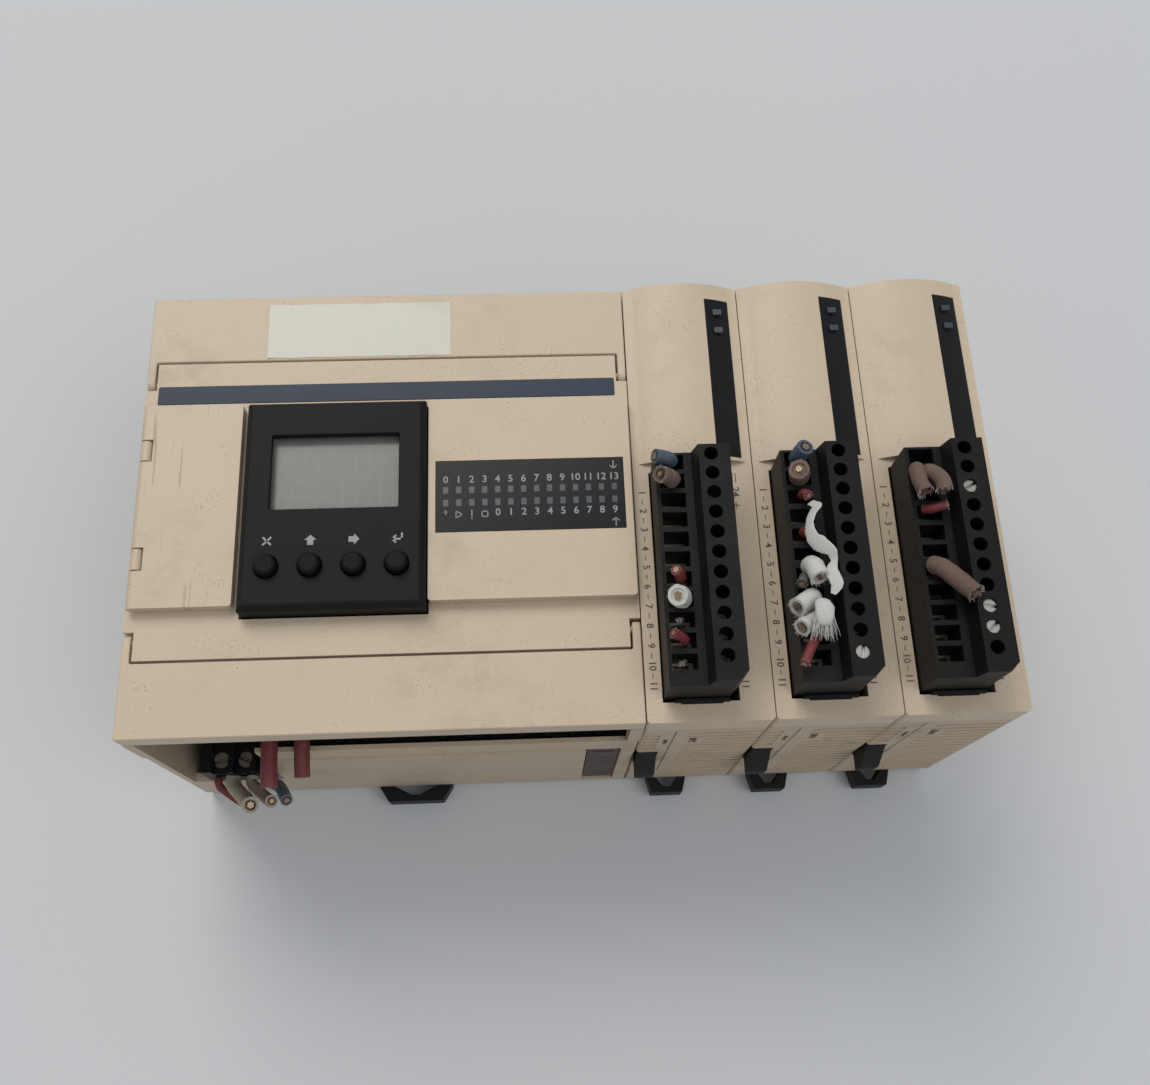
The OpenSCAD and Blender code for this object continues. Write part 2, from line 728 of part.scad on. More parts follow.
module indicator_cut() {
    indicator_shape(panel_z - indicator_t - 0.1, panel_z + 1);
    span(
        [indicator_x + 1, indicator_low_y + 3.4, cpu_front_z - front_wall - 1],
        [indicator_x + indicator_w - 1, indicator_high_y - 3.4, panel_z]
    );
}

module indicator_window() {
    color(smoke) in_cpu() indicator_shape(panel_z - indicator_t - 0.1, panel_z - 0.1);
}

// Outline of the coloured strip
module strip_shape(w, h) {
    plate([side_step + 0.4, strip_low_y, 0], [w - side_step - 0.4, strip_low_y + strip_h, h], 0.4);
}

module trim_strip() {
    color(slate) in_cpu() translate([0, 0, cpu_front_z - strip_t]) strip_shape(cpu_w, strip_t + 0.1);
}

// A terminal cover, drawn for the lower end: plate from edge_y out, lip, and arms to the hinge
module terminal_cover(edge_y, hinge_y) {
    lip_z = cpu_front_z - cover_lip;
    knuckle_z = cpu_front_z - 2 * cover_knuckle_r;
    difference() {
        union() {
            span([0, -half_h, cpu_front_z - cover_t], [cpu_w, edge_y - cover_clear, cpu_front_z]);
            span([0, -half_h, lip_z], [cpu_w, -half_h + cpu_wall, cpu_front_z]);
            for (x = [0, cpu_w - cover_arm_t]) {
                span([x, -half_h, lip_z], [x + cover_arm_t, edge_y - cover_clear, cpu_front_z]);
                span([x, edge_y - 2, knuckle_z], [x + cover_arm_t, hinge_y, cpu_front_z]);
                bar_x(x, x + cover_arm_t, hinge_y, hinge_z, cover_knuckle_r);
            }
        }
        bar_x(-1, cpu_w + 1, hinge_y, hinge_z, cover_pin_r + pin_clear);
    }
}

module bottom_terminal_cover() {
    color(pale_beige) in_cpu() terminal_cover(tongue_low_y, low_hinge_y);
}

module top_terminal_cover() {
    color(pale_beige) in_cpu() mirror([0, 1, 0]) terminal_cover(-tongue_high_y, -high_hinge_y);
}

module port_door() {
    notch = door_knuckle_l / 2 + slide_clear;
    notch_x = door_hinge_x + door_hinge_r + slide_clear;
    color(beige) in_cpu() {
        difference() {
            union() {
                plate([door_hinge_x, panel_low_y, door_z0], [door_right, panel_high_y, panel_z], 0.6);
                bar_y(panel_low_y, panel_high_y, door_hinge_x, door_hinge_z, door_hinge_r);
            }
            for (y = [knuckle_mid(-1), knuckle_mid(1)])
                span([0, y - notch, door_z0 - 1], [notch_x, y + notch, panel_z + 1]);
        }
        for (y = [knuckle_mid(-1), knuckle_mid(1)])
            bar_y(y - notch - 0.5, y + notch + 0.5, door_hinge_x, door_hinge_z, door_pin_r);
    }
}

// One row of terminals between two sides: base, rear wall and barriers, out to out_y from foot_z up
module terminal_row(x0, x1, count, top, out_y, foot_z) {
    span([x0, -terminal_out_y, terminal_back_z], [x1, -terminal_in_y, top]);
    span([x0, -out_y, foot_z], [x1, -terminal_in_y, top]);
    span([x0, -terminal_in_y - 3, terminal_back_z], [x1, -terminal_in_y, top + barrier_h]);
    for (i = [0 : count]) {
        x = x0 + i * (x1 - x0 - barrier_t) / count;
        span([x, -out_y, foot_z], [x + barrier_t, -terminal_in_y, top + barrier_h]);
    }
}

// A terminal block, drawn for the lower end and turned for the upper one
module terminal_block() {
    color(black) difference() {
        union() {
            terminal_row(
                terminal_left, terminal_right, high_count, terminal_z,
                terminal_out_y, terminal_back_z + 1
            );
            terminal_row(
                low_left, low_right, low_count, low_terminal_z,
                low_out_y, low_terminal_foot_z + slide_clear
            );
            span(
                [low_left - barrier_t, -low_out_y, low_terminal_foot_z + slide_clear],
                [low_left + eps, -terminal_in_y, low_terminal_z + barrier_h]
            );
            span(
                [low_right - eps, -terminal_in_y - 3, terminal_back_z],
                [terminal_left + eps, -terminal_in_y, low_terminal_z]
            );
        }
        for (i = [0 : terminal_count - 1])
            translate([terminal_x(i), -terminal_y(i), terminal_top(i) - screw_sink]) {
                translate([0, 0, -screw_head_h]) cylinder(h = 9, r = screw_head_r + 0.1);
                translate([0, 0, -screw_head_h - screw_shank_l])
                    cylinder(h = 9, r = screw_shank_r + pin_clear);
                span([-1.4, -4.5, -2.8], [1.4, -1, -0.2]);
            }
    }
}

module bottom_terminal_block() {
    in_cpu() terminal_block();
}

module top_terminal_block() {
    in_cpu() translate([cpu_w, 0, 0]) rotate([0, 0, 180]) terminal_block();
}

// A screw standing on z = 0 with its head's top at z = 0 and a slot turned by angle
module slotted_screw(head_r, head_h, shank_r, shank_l, angle) {
    difference() {
        union() {
            translate([0, 0, -head_h]) cylinder(h = head_h, r = head_r);
            translate([0, 0, -head_h - shank_l]) cylinder(h = shank_l + eps, r = shank_r);
        }
        rotate([0, 0, angle]) span([-head_r - 1, -driver_slot / 2, -0.7], [head_r + 1, driver_slot / 2, 1]);
    }
}

module block_screws() {
    for (i = [0 : terminal_count - 1])
        translate([terminal_x(i), -terminal_y(i), terminal_top(i) - screw_sink])
            slotted_screw(screw_head_r, screw_head_h, screw_shank_r, screw_shank_l, 37 * i);
}

module cpu_terminal_screws() {
    color(steel) in_cpu() {
        block_screws();
        translate([cpu_w, 0, 0]) rotate([0, 0, 180]) block_screws();
    }
}

// ---- Display module ----

function key_x(k) = display_x + key_side + (k - 1) * key_pitch;

module display_housing() {
    x1 = display_x + display_w;
    color(black) in_cpu() difference() {
        chamfered(
            [display_x, display_low_y, display_back_z],
            [x1, display_high_y, display_z],
            display_chamfer
        );
        span(
            [display_x + display_wall, display_low_y + display_wall, display_back_z - 1],
            [x1 - display_wall, display_high_y - display_wall, display_inner_z]
        );
        span(
            [display_mid_x - window_w / 2, window_low_y, display_inner_z - 1],
            [display_mid_x + window_w / 2, window_high_y, display_z + 1]
        );
        for (k = [1 : key_count]) translate([key_x(k), key_y, display_inner_z - 1])
            cylinder(h = display_wall + 2, r = key_r + key_clear);
    }
}

module display_lens() {
    color([0.75, 0.78, 0.74, 0.4]) in_cpu() span(
        [display_mid_x - window_w / 2 - lens_lap, window_low_y - lens_lap, display_inner_z - lens_t],
        [display_mid_x + window_w / 2 + lens_lap, window_high_y + lens_lap, display_inner_z]
    );
}

module display_glass() {
    z1 = display_inner_z - lens_t;
    color(lcd_green) in_cpu() span(
        [display_mid_x - window_w / 2 - lens_lap, window_low_y - lens_lap, z1 - glass_t],
        [display_mid_x + window_w / 2 + lens_lap, window_high_y + lens_lap, z1]
    );
}

module display_board() {
    z1 = display_inner_z - lens_t - glass_t;
    color(board_green) in_cpu() union() {
        span(
            [display_x + display_wall, display_low_y + display_wall, display_pcb_z],
            [display_x + display_w - display_wall, display_high_y - display_wall, display_pcb_z + pcb_t]
        );
        span(
            [display_mid_x - window_w / 2 - lens_lap, window_low_y - lens_lap, display_pcb_z],
            [display_mid_x + window_w / 2 + lens_lap, window_high_y + lens_lap, z1]
        );
        for (k = [1 : key_count]) span(
            [key_x(k) - 2.2, key_y - 2.2, display_pcb_z],
            [key_x(k) + 2.2, key_y + 2.2, switch_top_z]
        );
        span(
            [display_mid_x - 7, key_y - 2.2, display_back_z + 0.3],
            [display_mid_x + 7, key_y + 2.2, display_pcb_z + eps]
        );
    }
}

// A round key with a flange that keeps it in, and a stem down to its switch
module key_cap(k) {
    flange_z = display_inner_z - slide_clear - key_flange_t;
    color([0.13, 0.13, 0.14]) in_cpu() translate([key_x(k), key_y, 0]) {
        translate([0, 0, flange_z]) cylinder(h = key_flange_t, r = key_flange_r);
        translate([0, 0, flange_z]) cylinder(h = key_top_z - 0.5 - flange_z, r = key_r);
        translate([0, 0, key_top_z - 0.5]) cylinder(h = 0.5, r1 = key_r, r2 = key_r - 0.5);
        translate([0, 0, key_foot_z]) cylinder(h = flange_z - key_foot_z + eps, r = 1);
    }
}

module key_cancel() { key_cap(1); }
module key_up() { key_cap(2); }
module key_right() { key_cap(3); }
module key_enter() { key_cap(4); }

// ---- Inside the controller ----

// A bare board across the controller, between its two terminal blocks
module board_plate(z) {
    span([cpu_wall + 0.4, -board_y, z], [cpu_w - cpu_wall - 0.4, board_y, z + pcb_t]);
}

// A chip or coil on a board, centred on its place
module chip(w, l, h) {
    span([-w / 2, -l / 2, 0], [w / 2, l / 2, h]);
}

module cpu_board() {
    socket_z = bay_floor_z - bay_wall - 0.3;
    color(board_green) in_cpu() {
        union() {
            board_plate(cpu_board_z);
            translate([display_mid_x - 5.2, 9, cpu_board_z]) chip(14, 14, 4);
            translate([display_mid_x + 11.8, 15, cpu_board_z]) chip(8, 10, 3.6);
            translate([panel_x + 10.3, -12, cpu_board_z]) chip(12, 12, 4);
            span([display_mid_x - 8, key_y - 3, cpu_board_z], [display_mid_x + 8, key_y + 3, socket_z]);
            // raised carrier of the indicator lamps
            span(
                [indicator_x + 1.4, indicator_low_y + 3.8, cpu_board_z],
                [indicator_x + indicator_w - 1.4, indicator_high_y - 3.8, cpu_front_z - front_wall - 1.2]
            );
            for (k = [0 : led_count - 1], y = [-2.2, 0.4])
                translate([indicator_x + led_side + k * led_pitch, y, 0])
                    span([-0.6, -0.6, cpu_board_z], [0.6, 0.6, panel_z - indicator_t - 0.6]);
        }
    }
}

module power_board() {
    color([0.10, 0.28, 0.16]) in_cpu() difference() {
        union() {
            board_plate(power_board_z);
            translate([26, -9, power_board_z]) chip(20, 22, 18);
            for (i = [0 : 4]) translate([43.7 + i * 7.4, 16, power_board_z]) chip(5.4, 20, 16);
            for (i = [0 : 1]) translate([48 + i * 14, -12, power_board_z]) cylinder(h = 22, r = 5.5);
            translate([20, 14, power_board_z]) cylinder(h = 20, r = 6);
        }
        for (x = [board_post_in, cpu_w - board_post_in], y = [-board_post_y, board_post_y])
            translate([x, y, power_board_z - 1]) cylinder(h = pcb_t + 2, r = board_post_r + pin_clear);
    }
}
// Round eight-way serial port
module serial_port() {
    foot_z = cpu_board_z + pcb_t;
    color([0.20, 0.20, 0.21]) in_cpu() translate([port_x, port_y, 0]) {
        difference() {
            union() {
                translate([0, 0, foot_z]) cylinder(h = port_top_z - foot_z, r = port_r);
                span([-port_r, -port_r, foot_z], [port_r, port_r, port_floor_z - bay_wall - 0.2]);
            }
            translate([0, 0, port_top_z - 7]) cylinder(h = 8, r = port_r - 0.9);
        }
        difference() {
            translate([0, 0, port_top_z - 7 - eps]) cylinder(h = 6, r = port_r - 1.7);
            for (a = [20 : 40 : 340]) rotate([0, 0, a]) translate([port_r - 3, 0, port_top_z - 4])
                cylinder(h = 4, r = 0.45, $fn = 16);
        }
    }
}

// Adjusting pot with a driver slot
module trim_pot(n) {
    color([0.75, 0.72, 0.66]) in_cpu() translate([pot_x[n - 1], pot_y, 0]) difference() {
        translate([0, 0, pot_foot_z]) cylinder(h = pot_top_z - pot_foot_z, r = pot_r);
        span([-pot_r + 0.5, -0.4, pot_top_z - 1], [pot_r - 0.5, 0.4, pot_top_z + 1]);
    }
}

module cpu_rail_clip() {
    color(black) in_cpu() rail_clip(cpu_clip_x, cpu_clip_w, cpu_clip_taper);
}

module cartridge_cover() {
    x0 = cartridge_x[0] + 0.3;
    x1 = cartridge_x[1] - 0.3;
    y1 = -half_h + cartridge_sink;
    color(beige) in_cpu() union() {
        span([x0, y1 - 0.7, cartridge_z[0] + 0.3], [x1, y1, cartridge_z[1] - 0.3]);
        span([x0 + 1, y1 - 0.9, cartridge_z[1] - 4], [x1 - 1, y1, cartridge_z[1] - 2.8]);
    }
}

// Plugs of the bus between neighbouring units, seated in openings in their sides
module bus_connectors() {
    for (i = [1 : module_count]) {
        x = module_left(i);
        wall = i == 1 ? cpu_wall : module_wall;
        color(black) union() {
            span([x - unit_gap - wall - bus_flange, -bus_y, bus_z[0]], [x + bus_reach, bus_y, bus_z[1]]);
            span(
                [x - unit_gap - wall - bus_flange, -bus_y - 1.5, bus_z[0] - 1.5],
                [x - unit_gap - wall, bus_y + 1.5, bus_z[1] + 1.5]
            );
        }
    }
}

// ---- Wire stubs ----

// A cut wire: bare end at foot, bend at knee, then a sleeve to tip
module wire_stub(foot, knee, tip, core_r, sleeve_r) {
    bar_between(foot, knee, core_r);
    translate(knee) sphere(r = core_r);
    bar_between(knee, tip, sleeve_r);
}

// Extra radius of a wire at a bend
bend_swell = 0.05;

// A wire along a list of points, with slightly swollen bends
module wire_run(points, r) {
    for (i = [1 : len(points) - 1]) bar_between(points[i - 1], points[i], r);
    for (i = [1 : len(points) - 2]) translate(points[i]) sphere(r = r + bend_swell);
}

// Corners of the terminal rows that the cut wires are laid out from
high_corner = [terminal_left, -terminal_out_y, terminal_z];
low_corner = [low_left, -low_out_y, low_terminal_foot_z];
function from_high(steps) = [for (s = steps) high_corner + s];
function from_low(steps) = [for (s = steps) low_corner + s];

// Runs of the cut wires at the controller's lower terminals
red_run_1 = from_high([[2.72, 2.8, 4.9], [2.92, -8.4, 4.6]]);
red_run_2 = from_high([[8.82, 2.8, 4.8], [9.12, -6.8, 4.6]]);
thin_red_run = from_low([[0.88, 0, 1.5], [0.88, -1.3, 1.5], [4.58, -4.3, -0.6], [5.98, -5.1, -0.8]]);
blue_run = from_low([[12.78, 9.7, 4.4], [12.78, -0.9, 4.4], [16.78, -4.3, 15], [19.18, -7.7, 20]]);
white_run_1 = from_low([[4.38, 0, 3.2], [4.38, -1.9, 3.2], [9.48, -6.5, 10], [11.38, -7.9, 16.6]]);
white_run_2 = from_low([[8.28, 0, 3], [8.28, -1.7, 3], [12.98, -5.7, 8], [14.18, -6.5, 11]]);

module cpu_wires() {
    color(red) in_cpu() {
        wire_run(red_run_1, 1.65);
        wire_run(red_run_2, 1.55);
        wire_run(thin_red_run, 0.9);
    }
    color(slate) in_cpu() wire_run(blue_run, 1.25);
    color(pale_beige) in_cpu() {
        wire_run(white_run_1, 1.7);
        wire_run(white_run_2, 1.3);
    }
}

// ---- Expansion module, with x from its left side ----

module in_module(i) {
    translate([module_left(i), 0, 0]) children();
}

// Grooves between the ribs on one end of a module, its seam and its two small windows
module end_grooves() {
    for (z = [8 : rib_pitch : module_split_z - 4]) {
        beside_mark = z > mark_z[0] - rib_pitch && z < mark_z[1];
        x = beside_mark ? mark_x + 3 : mark_x - 0.6;
        span([x, -half_h - 1, z], [module_w + 1, -half_h + rib_depth, z + rib_pitch / 2]);
    }
    for (z = [42.5 : rib_pitch : module_split_z - 4])
        span([-1, -half_h - 1, z], [3.5, -half_h + rib_depth, z + rib_pitch / 2]);
    span([6, -half_h - 1, 17], [6.3, -half_h + 0.3, module_split_z - 1.5]);
    span([mark_x, -half_h - 1, mark_z[0]], [mark_x + 1.5, -half_h + module_wall + 1, mark_z[1]]);
    span([4.4, -half_h - 1, mark_z[0] - 0.8], [5.3, -half_h + module_wall + 1, mark_z[1] - 1]);
}

// Slot in one end for a head of the locking slider
module latch_slot() {
    slot_end_y = -half_h + latch_head_l + latch_travel + slide_clear;
    span(
        [-1, -half_h - 1, latch_low_z - slide_clear],
        [latch_right + slide_clear, slot_end_y, latch_high_z + slide_clear]
    );
}

module module_rear_housing(i) {
    color(beige) in_module(i) difference() {
        rear_shell(module_w, module_wall, module_split_z, module_clip_x, module_clip_w);
        for (m = [0, 1]) mirror([0, m, 0]) {
            end_grooves();
            latch_slot();
        }
        bus_hole(-1, module_wall + 1);
        if (i < module_count) bus_hole(module_w - module_wall - 1, module_w + 1);
    }
}

// The domed front's cylinder, shrunk by t
module dome(t) {
    bar_y(dome_low_y + (t > 0 ? t : 0), half_h - (t > 0 ? t : 0), module_w / 2, dome_z, dome_r - t);
}

module module_front_housing(i) {
    bay_x = [plug_x - slide_clear, plug_right + slide_clear];
    bay_y = [plug_low_y - 2 * slide_clear, plug_high_y + slide_clear];
    color(pale_beige) in_module(i) difference() {
        union() {
            difference() {
                plate([0, -half_h, module_split_z], [module_w, half_h, module_front_z], 0.8);
                span(
                    [module_wall, -half_h + module_wall, module_split_z - 1],
                    [module_w - module_wall, half_h - module_wall, module_front_z - module_wall]
                );
            }
            intersection() {
                dome(0);
                span([0, dome_low_y, module_front_z - 1], [module_w, half_h, module_front_z + 9]);
            }
            span(
                [bay_x[0] - 1, bay_y[0] - 1, module_split_z + 1],
                [bay_x[1] + 1, bay_y[1] + 1, module_front_z - module_wall + eps]
            );
        }
        span([bay_x[0], bay_y[0], module_split_z - 1], [bay_x[1], bay_y[1], module_front_z + 1]);
        intersection() {
            status_column();
            difference() {
                dome(-1);
                dome(status_t);
            }
        }
    }
}

// The status window's outline through the whole front
module status_column() {
    span([status_x[0], status_y[0], module_front_z - 3], [status_x[1], status_y[1], module_front_z + 9]);
}

module module_status_window(i) {
    color(smoke) in_module(i) intersection() {
        status_column();
        difference() {
            bar_y(dome_low_y, half_h, module_w / 2, dome_z, dome_r - 0.1);
            bar_y(dome_low_y - 1, half_h + 1, module_w / 2, dome_z, dome_r - status_t);
        }
    }
}

module module_board(i) {
    x1 = module_pcb_x + pcb_t;
    y_in = half_h - module_wall;
    color(board_green) in_module(i) union() {
        span([module_pcb_x, -y_in, 12], [x1, y_in, module_split_z - 1.5]);
        span([module_pcb_x - 3, 10, 24], [module_pcb_x + eps, 24, 38]);
        span([module_pcb_x - 3, -26, 26], [module_pcb_x + eps, -12, 40]);
        span([module_pcb_x - 7, 26, 20], [module_pcb_x + eps, 38, 36]);
        span([bus_reach, -bus_y, bus_z[0] - 4], [module_pcb_x + eps, bus_y, bus_z[1] + 4]);
        for (y = [12, 26]) bar_x(module_pcb_x - 8, module_pcb_x + eps, y, 48, 3.2);
        span([x1 - eps, status_y[1] - 2.6, 54], [x1 + 1.2, status_y[1] - 1, module_front_z - 2.4]);
    }
}

// Row of contacts: base, pins up into the plug and legs across to the board
module module_header(i) {
    low_y = plug_low_y - header_lap;
    color(black) in_module(i) union() {
        span([plug_x + 0.2, low_y, header_low_z], [plug_right - 0.2, plug_high_y, header_top_z]);
        for (k = [1 : way_count]) {
            y = way_y(k);
            span(
                [entry_x - pin_w / 2, y - pin_w / 2, header_top_z - eps],
                [entry_x + pin_w / 2, y + pin_w / 2, pin_top_z]
            );
            bar_x(plug_right - 1, module_pcb_x, y, header_low_z + 2, 0.4);
        }
    }
}

// Outline of the plug across its length, in X and Z
module plug_profile() {
    polygon([
        [plug_x, plug_back_z], [plug_right, plug_back_z], [plug_right, tower_z],
        [tower_x, tower_z], [plug_x + deck_w, deck_z], [plug_x, deck_z]
    ]);
}

module module_plug(i) {
    color(black) in_module(i) difference() {
        translate([0, plug_high_y, 0]) rotate([90, 0, 0]) linear_extrude(plug_len) plug_profile();
        translate([plug_right, plug_low_y, plug_back_z - 1]) rotate([0, 0, -45])
            translate([-plug_chamfer * 0.71, -9, 0]) cube([9, 18, tower_z]);
        for (k = [1 : way_count]) {
            y = way_y(k);
            span(
                [entry_x - entry_w / 2, y - entry_l / 2, entry_floor_z],
                [entry_x + entry_w / 2, y + entry_l / 2, deck_z + 1]
            );
            span(
                [entry_x - socket_w / 2, y - socket_w / 2, plug_back_z - 1],
                [entry_x + socket_w / 2, y + socket_w / 2, pin_top_z + 0.5]
            );
            translate([tower_hole_x, y, tower_floor_z]) cylinder(h = 12, r = tower_hole_r);
        }
    }
}

// Depth of each screw's head below the tower
function screw_drop(i, k) = (k == 3 || k >= 9) ? 0.5 : 2.2 + 0.4 * ((k * (i + 2)) % 3);

module module_plug_screws(i) {
    color(steel) in_module(i) for (k = [1 : way_count]) {
        top = tower_z - screw_drop(i, k);
        head = 1.6;
        shank = top - head - tower_floor_z;
        translate([tower_hole_x, way_y(k), top])
            slotted_screw(plug_screw_r, head, plug_screw_r - 0.3, shank, 53 * k + 17 * i);
    }
}

// Metal cage at the floor of each wire opening
module module_wire_clamps(i) {
    half_x = entry_w / 2 - 0.1;
    half_y = entry_l / 2 - 0.1;
    color(brass) in_module(i) for (k = [1 : way_count]) translate([entry_x, way_y(k), 0]) difference() {
        span([-half_x, -half_y, clamp_z[0]], [half_x, half_y, clamp_z[1]]);
        span([-half_x + 0.8, -half_y + 0.5, clamp_z[0] + 0.6], [half_x - 0.8, half_y - 0.5, clamp_z[1] + 1]);
    }
}

module module_rail_clip(i) {
    color(black) in_module(i) rail_clip(module_clip_x, module_clip_w, module_clip_taper);
}

// Slider that locks the module to its neighbour: a bar with a leg and a head at each end
module module_latch(i) {
    low_y = -half_h + latch_head_l;
    high_y = half_h - latch_head_l - latch_travel;
    color(black) in_module(i) union() {
        translate([latch_x, 0, 0]) rotate([90, 0, 90]) linear_extrude(latch_w) polygon([
            [low_y, latch_low_z], [latch_tip_y, latch_low_z], [latch_tip_y, latch_low_z + latch_tip_h],
            [-half_h, latch_high_z], [low_y, latch_high_z]
        ]);
        span([latch_x, high_y, latch_low_z], [latch_right, half_h, latch_high_z]);
        span([latch_bar_x, low_y - latch_leg_t, latch_bar_z[0]], [latch_right, low_y, latch_high_z]);
        span([latch_bar_x, high_y, latch_bar_z[0]], [latch_right, high_y + latch_leg_t, latch_high_z]);
        span(
            [latch_bar_x, low_y - latch_leg_t, latch_bar_z[0]],
            [latch_right, high_y + latch_leg_t, latch_bar_z[1]]
        );
    }
}

// Stubs in a module's plug: [way, knee height, tip offset in x, y, z, core radius, sleeve radius]
stubs_1 = [
    [1, 2.0, -3.4, 0.0, 1.4, 0.7, 1.25], [2, 2.2, -3.0, -0.2, 1.8, 0.8, 1.5],
    [7, 1.4, -1.2, 0.4, 1.5, 0.6, 0.95], [8, 2.1, -0.8, -0.5, 1.8, 0.7, 1.8],
    [9, 0.8, -0.4, -0.6, 0.8, 0.4, 0.4], [10, 1.2, -1.8, 0.6, 1.6, 0.6, 0.9],
    [11, 0.7, -0.9, 0.3, 0.6, 0.4, 0.4]
];
stubs_2 = [
    [1, 2.2, 0.8, 0.4, 2.4, 0.8, 1.7], [2, 2.4, -0.8, -0.1, 2.0, 0.8, 1.9],
    [5, 1.6, 2.0, -2.4, 1.2, 0.6, 0.95], [7, 1.8, -0.8, -1.4, 1.8, 0.6, 1.3],
    [8, 2.2, 0.2, -1.4, 1.6, 0.6, 1.5], [9, 2.0, -1.6, 0.2, 1.2, 0.6, 1.3],
    [10, 1.2, -0.2, -5.2, 1.4, 0.5, 0.85]
];
stubs_3 = [
    [2, 2.2, -1.2, -2.4, 2.6, 0.7, 1.7], [3, 2.4, 2.4, 1.4, 3.2, 0.7, 1.6],
    [7, 2.2, 4.6, -4.2, 3.6, 0.8, 1.6]
];
stub_foot_z = clamp_z[0] + 0.6;

module module_wires(i) {
    stubs = i == 1 ? stubs_1 : i == 2 ? stubs_2 : stubs_3;
    color(i == 3 ? [0.42, 0.16, 0.12] : red) in_module(i) for (s = stubs) {
        knee = [entry_x, way_y(s[0]), deck_z + s[1]];
        wire_stub([entry_x, way_y(s[0]), stub_foot_z], knee, knee + [s[2], s[3], s[4]], s[5], s[6]);
    }
}

cpu_rear_housing();
cpu_front_housing();
top_terminal_cover();
bottom_terminal_cover();
port_door();
indicator_window();
trim_strip();
top_terminal_block();
bottom_terminal_block();
cpu_terminal_screws();
display_housing();
display_lens();
display_glass();
display_board();
key_cancel();
key_up();
key_right();
key_enter();
cpu_board();
power_board();
serial_port();
trim_pot(1);  // trim_pot_1
trim_pot(2);  // trim_pot_2
cpu_rail_clip();
cpu_wires();
cartridge_cover();
bus_connectors();
module_rear_housing(1);  // module_1_rear_housing
module_front_housing(1);  // module_1_front_housing
module_status_window(1);  // module_1_status_window
module_board(1);  // module_1_board
module_header(1);  // module_1_header
module_plug(1);  // module_1_plug
module_plug_screws(1);  // module_1_plug_screws
module_wire_clamps(1);  // module_1_wire_clamps
module_rail_clip(1);  // module_1_rail_clip
module_latch(1);  // module_1_latch
module_wires(1);  // module_1_wires
module_rear_housing(2);  // module_2_rear_housing
module_front_housing(2);  // module_2_front_housing
module_status_window(2);  // module_2_status_window
module_board(2);  // module_2_board
module_header(2);  // module_2_header
module_plug(2);  // module_2_plug
module_plug_screws(2);  // module_2_plug_screws
module_wire_clamps(2);  // module_2_wire_clamps
module_rail_clip(2);  // module_2_rail_clip
module_latch(2);  // module_2_latch
module_wires(2);  // module_2_wires
module_rear_housing(3);  // module_3_rear_housing
module_front_housing(3);  // module_3_front_housing
module_status_window(3);  // module_3_status_window
module_board(3);  // module_3_board
module_header(3);  // module_3_header
module_plug(3);  // module_3_plug
module_plug_screws(3);  // module_3_plug_screws
module_wire_clamps(3);  // module_3_wire_clamps
module_rail_clip(3);  // module_3_rail_clip
module_latch(3);  // module_3_latch
module_wires(3);  // module_3_wires
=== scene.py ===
"""Looks of a compact programmable controller with three analogue modules on its right.

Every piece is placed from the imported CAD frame. Lengths in the add-on's properties are
metres. The controller lies on its back, so its front faces +Z and its top edge +Y.
"""

import json
import math
import random

import bmesh
import bpy
from mathutils import Matrix, Vector
from mathutils.bvhtree import BVHTree

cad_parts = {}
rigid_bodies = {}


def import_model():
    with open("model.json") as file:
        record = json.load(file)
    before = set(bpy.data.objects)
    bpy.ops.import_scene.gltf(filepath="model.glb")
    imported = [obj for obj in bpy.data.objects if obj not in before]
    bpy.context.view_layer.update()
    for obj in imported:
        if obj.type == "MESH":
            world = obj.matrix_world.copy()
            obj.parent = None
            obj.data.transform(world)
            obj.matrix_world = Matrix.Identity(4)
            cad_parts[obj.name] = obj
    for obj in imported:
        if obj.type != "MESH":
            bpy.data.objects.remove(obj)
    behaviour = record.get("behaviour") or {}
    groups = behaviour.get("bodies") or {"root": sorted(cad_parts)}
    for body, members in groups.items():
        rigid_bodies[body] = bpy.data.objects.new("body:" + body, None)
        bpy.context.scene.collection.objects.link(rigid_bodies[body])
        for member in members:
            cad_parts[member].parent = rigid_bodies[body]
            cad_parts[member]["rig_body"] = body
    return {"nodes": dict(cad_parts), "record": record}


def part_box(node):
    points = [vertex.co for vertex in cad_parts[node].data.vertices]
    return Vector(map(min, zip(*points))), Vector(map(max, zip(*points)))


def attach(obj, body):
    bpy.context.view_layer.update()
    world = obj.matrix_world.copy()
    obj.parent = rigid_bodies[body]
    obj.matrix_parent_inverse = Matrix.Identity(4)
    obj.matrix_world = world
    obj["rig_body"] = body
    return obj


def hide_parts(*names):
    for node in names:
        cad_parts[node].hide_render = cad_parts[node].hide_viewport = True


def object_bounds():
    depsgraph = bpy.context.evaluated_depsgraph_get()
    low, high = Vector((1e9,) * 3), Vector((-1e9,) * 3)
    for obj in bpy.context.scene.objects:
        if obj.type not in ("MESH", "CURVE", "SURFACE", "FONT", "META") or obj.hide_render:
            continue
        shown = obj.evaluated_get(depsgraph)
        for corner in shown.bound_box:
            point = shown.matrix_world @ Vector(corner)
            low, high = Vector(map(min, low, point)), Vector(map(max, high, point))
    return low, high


bl_info = {
    "name": "Controller and Modules",
    "version": (1, 0, 0),
    "blender": (4, 5, 0),
    "location": "View3D > Sidebar > Controller",
    "description": "Dresses the controller, its modules, plugs, wires and prints",
    "category": "Object",
}

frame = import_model()
CAD_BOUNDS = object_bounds()
NODES = frame["nodes"]
NODE_SLOT = {s["node"]: s.get("material_slot") for s in frame["record"].get("subparts", [])}
MM = 0.001
MODULES = (1, 2, 3)
CPU_LEFT = CAD_BOUNDS[0][0] / MM
INPUTS, OUTPUTS = 14, 10
# Height of a module's flat front, and of the deck of its plug with the wire entries
MODULE_FRONT = 67.5
DECK_Z = 77.3
